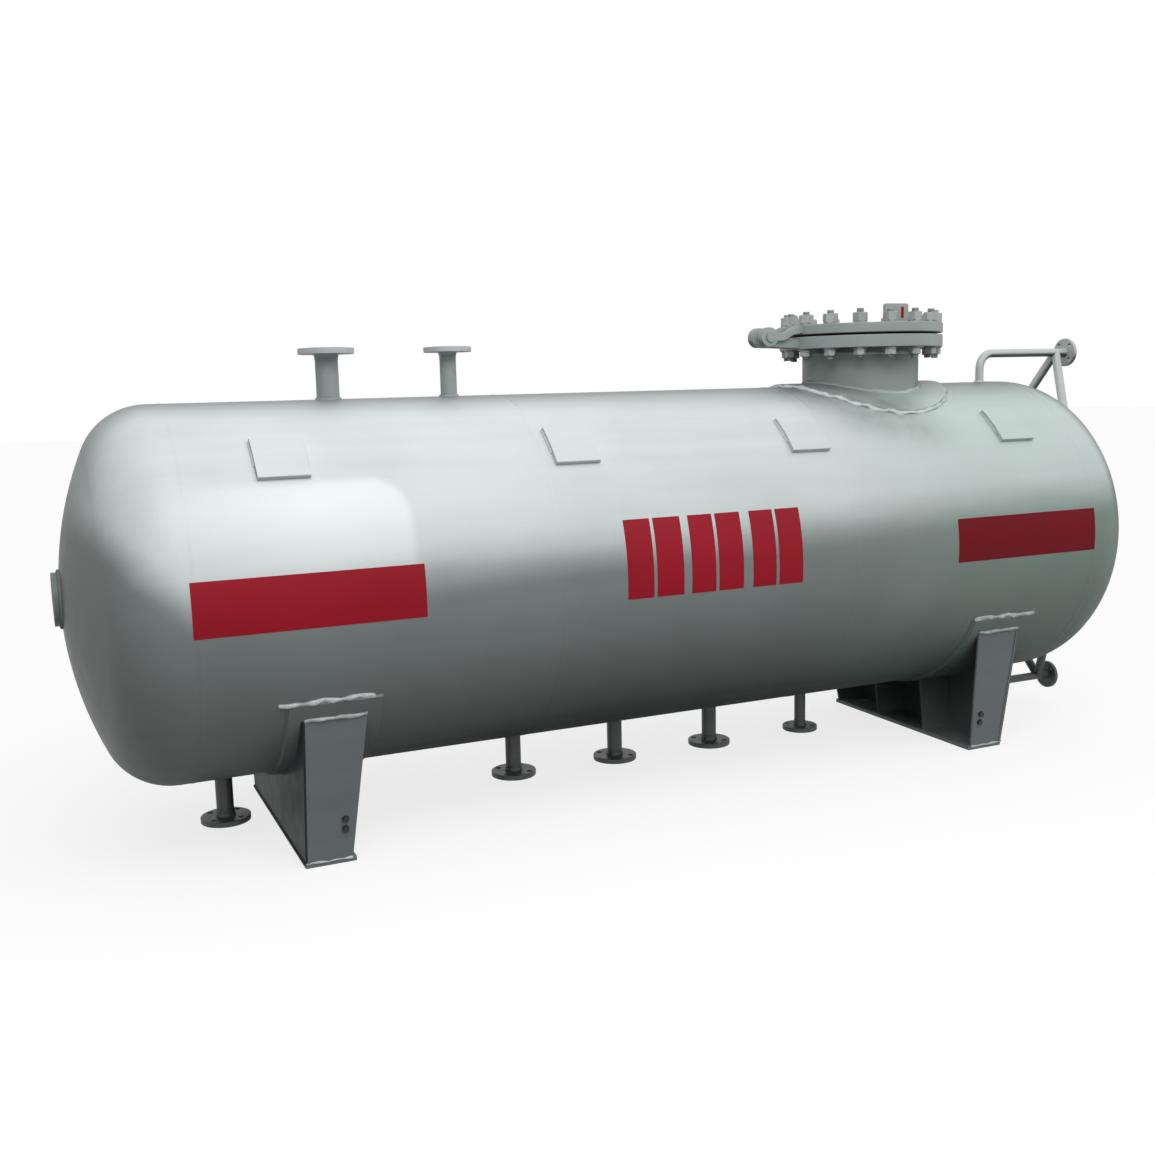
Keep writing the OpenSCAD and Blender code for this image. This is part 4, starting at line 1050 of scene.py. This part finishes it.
    fresh_beads, plain_beads, wear_beads, corner_beads = [], [], [], []
    for back in (-1, 1):
        top = back * (WEAR_HALF + 0.004)
        along_up = (0, back * math.cos(top), abs(math.sin(top)))
        top_line = [belly_spot(x, top, WEAR_BEAD_R) for x in bead_span]
        horn = [Vector((x, back * (HORN_Y + 0.001), HORN_Z - 0.001)) for x in (0.004, 0.200)]
        foot = [Vector((x, back * (BASE_HALF + 0.0005), BASE_TALL - 0.001)) for x in (0.002, RIB_FOOT)]
        for line, up, width, height, pitch, seed in (
            (top_line, leaning(along_up), 0.015, 0.008, 0.009, 110), (horn, (0, back, -0.35), 0.012, 0.006, 0.008, 114),
            (foot, (0, back, 0.6), 0.010, 0.004, 0.008, 118),
        ):
            fresh_beads.append(weld_run(line, up, width, height, pitch=pitch, seed=seed + back, ragged=0.8))
        corner = [Vector((WEB_THICK, back * (y + 0.001), z)) for y, z in ((BASE_HALF, BASE_TALL), (HORN_Y, HORN_Z))]
        corner_beads.append(weld_run(corner, (-0.2, back, 0), 0.008, 0.002, seed=122 + back))
        for side in (-1, 1):
            run = [Vector((x, back * (INNER_RIB_Y + side * WEB_THICK / 2), BASE_TALL)) for x in (WEB_THICK, RIB_FOOT)]
            plain_beads.append(weld_run(run, (0, back * side, 1), 0.011, 0.005, seed=126 + back))
    for x, lean_x in zip(WEAR_ENDS, (-1, 1)):
        line = [belly_spot(x + lean_x * 0.0005, WEAR_HALF * (i / 30 - 1), WEAR_BEAD_R) for i in range(61)]
        wear_beads.append(weld_run(line, leaning((lean_x, 0, 0)), 0.012, 0.003, seed=130))
    for x, lean_x in ((0.0, -1), (WEB_THICK, 1)):
        line = [Vector((x, y, BASE_TALL)) for y in (-BASE_HALF, BASE_HALF)]
        plain_beads.append(weld_run(line, (lean_x, 0, 1), 0.011, 0.005, seed=134))
        line = [belly_spot(x, SEAT_HALF * (i / 30 - 1), SEAT_BEAD_R) for i in range(61)]
        plain_beads.append(weld_run(line, leaning((lean_x, 0, 0)), 0.012, 0.005, seed=138))
    bright_piece = made_piece(f"{side_name}_saddle_fresh_welds", moved(joined(fresh_beads), stand), fresh_bead_coat)
    edge_piece = made_piece(f"{side_name}_saddle_corner_welds", moved(joined(corner_beads), stand), saddle_coat)
    plain_piece = made_piece(f"{side_name}_saddle_welds", moved(joined(plain_beads), stand), inner_coat)
    wear_weld = made_piece(f"{side_name}_saddle_wear_welds", moved(joined(wear_beads), stand), shell_coat)

# Bracket pads.
# Rolled pieces of 16 mm plate tacked to the shoulders of the shell, four at the front and four at
# the back, to carry the brackets of a walkway or a spray pipe later.
PAD_IN, PAD_OUT, PAD_LONG, PAD_HALF = 0.6123, 0.6283, 0.158, math.radians(7.41)
PAD_MID, PAD_BEAD_R = math.radians(90 + 46.5), 0.6135
pad_coat = sprayed_coat(
    "pad_aluminium_coat", (0.712, 0.772, 0.782, 1), (0.628, 0.684, 0.690, 1), specular=0.16, edge_shade=0.8,
    shadow_and_tint=MANHOLE_SHADOW_GREY,
)
for row_name, back in (("front", -1), ("rear", 1)):
    pads, pad_beads = [], []
    for number, x in enumerate((-1.445, -0.494, 0.414, 1.365)):
        low_turn, high_turn = back * (PAD_MID - PAD_HALF), back * (PAD_MID + PAD_HALF)
        x0, x1 = x - PAD_LONG / 2, x + PAD_LONG / 2
        start, end = sorted((low_turn, high_turn))
        pads.append(rolled_plate(x0, x1, PAD_IN, PAD_OUT, start, end, 0.0015, 10))
        for edge_x, lean_x in ((x0, -1), (x1, 1)):
            turns = [low_turn + (high_turn - low_turn) * (0.30 + 0.70 * i / 12) for i in range(13)]
            line = [belly_spot(edge_x, t, PAD_BEAD_R) for t in turns]
            pad_beads.append(weld_run(line, leaning((lean_x, 0, 0)), 0.010, 0.004, seed=150 + number))
        line = [belly_spot(edge_x, high_turn, PAD_BEAD_R) for edge_x in (x0, x1)]
        pad_beads.append(weld_run(line, off_axis, 0.012, 0.006, seed=160 + number))
    pad_piece = made_piece(f"{row_name}_bracket_plates", joined(pads), pad_coat, crisp=35)
    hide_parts(f"{row_name}_bracket_pads")
    bracket_weld = made_piece(f"{row_name}_bracket_welds", joined(pad_beads), shell_coat)

# Red markings.
# Bands and plain stencilled blocks of red enamel, masked with tape and sprayed over the aluminium
# paint on both long sides; the film follows the shell and rides over the weld seams.
BAND_LOW, BAND_HIGH, BLOCK_LOW, BLOCK_HIGH = -3.9, 11.3, -5.0, 19.5
FILM, FILM_STEPS, BRIDGE = 0.0005, (0.008, 0.012), 0.012
red_coat = sprayed_coat(
    "red_enamel", (0.400, 0.006, 0.022, 1), (0.315, 0.004, 0.014, 1), rough=(0.34, 0.48), metallic=0.0, specular=0.22
)
# A darker copy of the red enamel for the bands at the gauge end: painted shade.
shaded_red_coat = sprayed_coat(
    "red_enamel_painted_shade", (0.235, 0.005, 0.014, 1), (0.180, 0.004, 0.010, 1), rough=(0.42, 0.56), metallic=0.0,
    specular=0.16,
)


def painted_patch(x0, x1, low, high, back):
    """A thin film of paint on the shell between two lengths and two angles above the horizontal."""
    columns = max(2, math.ceil((x1 - x0) / FILM_STEPS[0]))
    rows = max(4, math.ceil(math.radians(high - low) * SHELL_R / FILM_STEPS[1]))
    verts, faces = [], []
    for lift in (FILM, -FILM):
        for i in range(columns + 1):
            x = x0 + (x1 - x0) * i / columns
            ridge = max(SEAM_TALL * max(0, 1 - ((x - seam) / SEAM_WIDE * 2) ** 2) ** 2 for seam in RING_SEAMS)
            for j in range(rows + 1):
                a = math.radians(low + (high - low) * j / rows)
                a = math.pi - a if back else a
                verts.append(shell_spot(x, a, lift + (ridge * 1.15 if lift > 0 else 0)))
    wide, layer = rows + 1, (columns + 1) * (rows + 1)
    for i in range(columns):
        for j in range(rows):
            a = i * wide + j
            faces.append((a, a + wide, a + wide + 1, a + 1))
            faces.append((layer + a, layer + a + 1, layer + a + wide + 1, layer + a + wide))
    rim = [i * wide for i in range(columns + 1)] + [columns * wide + j for j in range(1, rows + 1)]
    rim += [i * wide + rows for i in range(columns - 1, -1, -1)] + [j for j in range(rows - 1, 0, -1)]
    for i, spot in enumerate(rim):
        after = rim[(i + 1) % len(rim)]
        faces.append((spot, after, layer + after, layer + spot))
    return verts, faces


for row_name, back in (("front", False), ("rear", True)):
    for end_name, x0, x1, coat in (("left", -1.750, -1.066, red_coat), ("right", 0.976, 1.649, shaded_red_coat)):
        band = painted_patch(x0, x1, BAND_LOW, BAND_HIGH, back)
        band_piece = made_piece(f"{row_name}_{end_name}_red_band", band, coat, crisp=35)
    blocks = []
    for x0, x1 in ((-0.387, -0.179), (-0.149, 0.051), (0.089, 0.290)):
        bridge = x0 + (x1 - x0) * 0.46
        for b0, b1 in ((x0, bridge), (bridge + BRIDGE, x1)):
            blocks.append(painted_patch(b0, b1, BLOCK_LOW, BLOCK_HIGH, back))
    block_piece = made_piece(f"{row_name}_red_blocks", joined(blocks), red_coat, crisp=35)
dab_outline = eased(points((-0.007, -0.021), (0.007, -0.021), (0.007, 0.021), (-0.007, 0.021)), 0.003)
dab = flat_plate(dab_outline, [], 0.0008, 0.0002)
dab = moved(dab, facing((MANHOLE_X + 0.026, LUG_Y - LUG_THICK / 2, COVER_TOP + 0.038), (0, -1, 0), (1, 0, 0)))
lug_dab = made_piece("cover_lug_red_dab", dab, red_coat)

# Studio.
# A plain pale floor that reads white and keeps the soft shadow, an overhead sky of soft light
# that is stronger at the front, and a camera at the height of the eyes.
FLOOR_REACH, SHADOW_SHARE = 40, 0.28
CAMERA_SPOT = (-2.173, -4.182, 1.4802)


def seen_directly(tree):
    """One for rays from the camera, also by way of a mirror or through glass."""
    path = tree.nodes.new("ShaderNodeLightPath")
    seen = reckon(tree, "MAXIMUM", path.outputs["Is Camera Ray"], path.outputs["Is Glossy Ray"])
    return reckon(tree, "MAXIMUM", seen, path.outputs["Is Transmission Ray"])


floor_mesh = bpy.data.meshes.new("studio_floor")
floor_corners = [(x * FLOOR_REACH, y * FLOOR_REACH, 0) for x, y in ((-1, -1), (1, -1), (1, 1), (-1, 1))]
floor_mesh.from_pydata(floor_corners, [], [(0, 1, 2, 3)])
floor = bpy.data.objects.new("studio_floor", floor_mesh)
bpy.context.scene.collection.objects.link(floor)
floor_paint = bpy.data.materials.new("studio_floor_white")
floor_paint.use_nodes = True
floor_tree = floor_paint.node_tree
floor_tree.nodes.remove(floor_tree.nodes["Principled BSDF"])
floor_out = floor_tree.nodes["Material Output"]
glow = floor_tree.nodes.new("ShaderNodeEmission")
glow.inputs["Strength"].default_value = 1.08
matt = floor_tree.nodes.new("ShaderNodeBsdfDiffuse")
matt.inputs["Color"].default_value = (0.9, 0.9, 0.9, 1)
bounce = floor_tree.nodes.new("ShaderNodeBsdfDiffuse")
bounce.inputs["Color"].default_value = (0.07, 0.073, 0.073, 1)
shown = floor_tree.nodes.new("ShaderNodeMixShader")
shown.inputs["Fac"].default_value = SHADOW_SHARE
floor_tree.links.new(glow.outputs["Emission"], shown.inputs[1])
floor_tree.links.new(matt.outputs["BSDF"], shown.inputs[2])
chosen = floor_tree.nodes.new("ShaderNodeMixShader")
floor_tree.links.new(seen_directly(floor_tree), chosen.inputs["Fac"])
floor_tree.links.new(bounce.outputs["BSDF"], chosen.inputs[1])
floor_tree.links.new(shown.outputs["Shader"], chosen.inputs[2])
floor_tree.links.new(chosen.outputs["Shader"], floor_out.inputs["Surface"])
floor_mesh.materials.append(floor_paint)

sky = bpy.data.worlds.new("studio_sky")
bpy.context.scene.world = sky
sky.use_nodes = True
sky_tree = sky.node_tree
sky_background = sky_tree.nodes["Background"]
sky_background.inputs["Color"].default_value = (1, 1, 1, 1)
sky_way = sky_tree.nodes.new("ShaderNodeSeparateXYZ")
sky_tree.links.new(sky_tree.nodes.new("ShaderNodeTexCoord").outputs["Generated"], sky_way.inputs[0])
dome = ranged(sky_tree, sky_way.outputs["Z"], 0.08, 0.50, 0.16, 1.0, smooth=True)
dome = reckon(sky_tree, "MULTIPLY", dome, ranged(sky_tree, sky_way.outputs["Z"], 0.60, 1.0, 1.0, 0.78))
front = ranged(sky_tree, sky_way.outputs["Y"], -1.0, 1.0, 1.72, 0.42)
front = reckon(sky_tree, "MULTIPLY", front, ranged(sky_tree, sky_way.outputs["X"], -0.95, 0.0, 0.10, 1.0))
sky_level = reckon(sky_tree, "MULTIPLY", reckon(sky_tree, "MULTIPLY", dome, front), 1.02)
sky_mix = sky_tree.nodes.new("ShaderNodeMix")
sky_tree.links.new(seen_directly(sky_tree), sky_mix.inputs["Factor"])
sky_tree.links.new(sky_level, sky_mix.inputs[2])
sky_mix.inputs[3].default_value = 1.0
sky_tree.links.new(sky_mix.outputs[0], sky_background.inputs["Strength"])

key = bpy.data.lights.new("studio_softbox", "AREA")
key.shape = "RECTANGLE"
key.size, key.size_y = 3.0, 2.0
key.energy = 55
key_lamp = bpy.data.objects.new("studio_softbox", key)
bpy.context.scene.collection.objects.link(key_lamp)
key_spot, key_aim = Vector((-1.3, -2.9, 4.1)), Vector((-0.8, 0, 1.0))
key_lamp.matrix_world = facing(key_spot, key_spot - key_aim, (1, 0, 0))

camera_data = bpy.data.cameras.new("photo_camera")
camera_data.sensor_width = 36
camera_data.lens = 38.88
camera = bpy.data.objects.new("photo_camera", camera_data)
bpy.context.scene.collection.objects.link(camera)
yaw, pitch, roll = math.radians(24.22), math.radians(-8.844), math.radians(-1.344)
ahead = Vector((math.sin(yaw) * math.cos(pitch), math.cos(yaw) * math.cos(pitch), math.sin(pitch)))
level_right = Vector((math.cos(yaw), -math.sin(yaw), 0))
level_up = level_right.cross(ahead)
right = level_right * math.cos(roll) + level_up * math.sin(roll)
upward = level_up * math.cos(roll) - level_right * math.sin(roll)
turn = Matrix((right, upward, -ahead)).transposed().to_4x4()
camera.matrix_world = Matrix.Translation(CAMERA_SPOT) @ turn
bpy.context.scene.camera = camera
bpy.context.scene.view_settings.view_transform = "Standard"

bpy.context.view_layer.update()
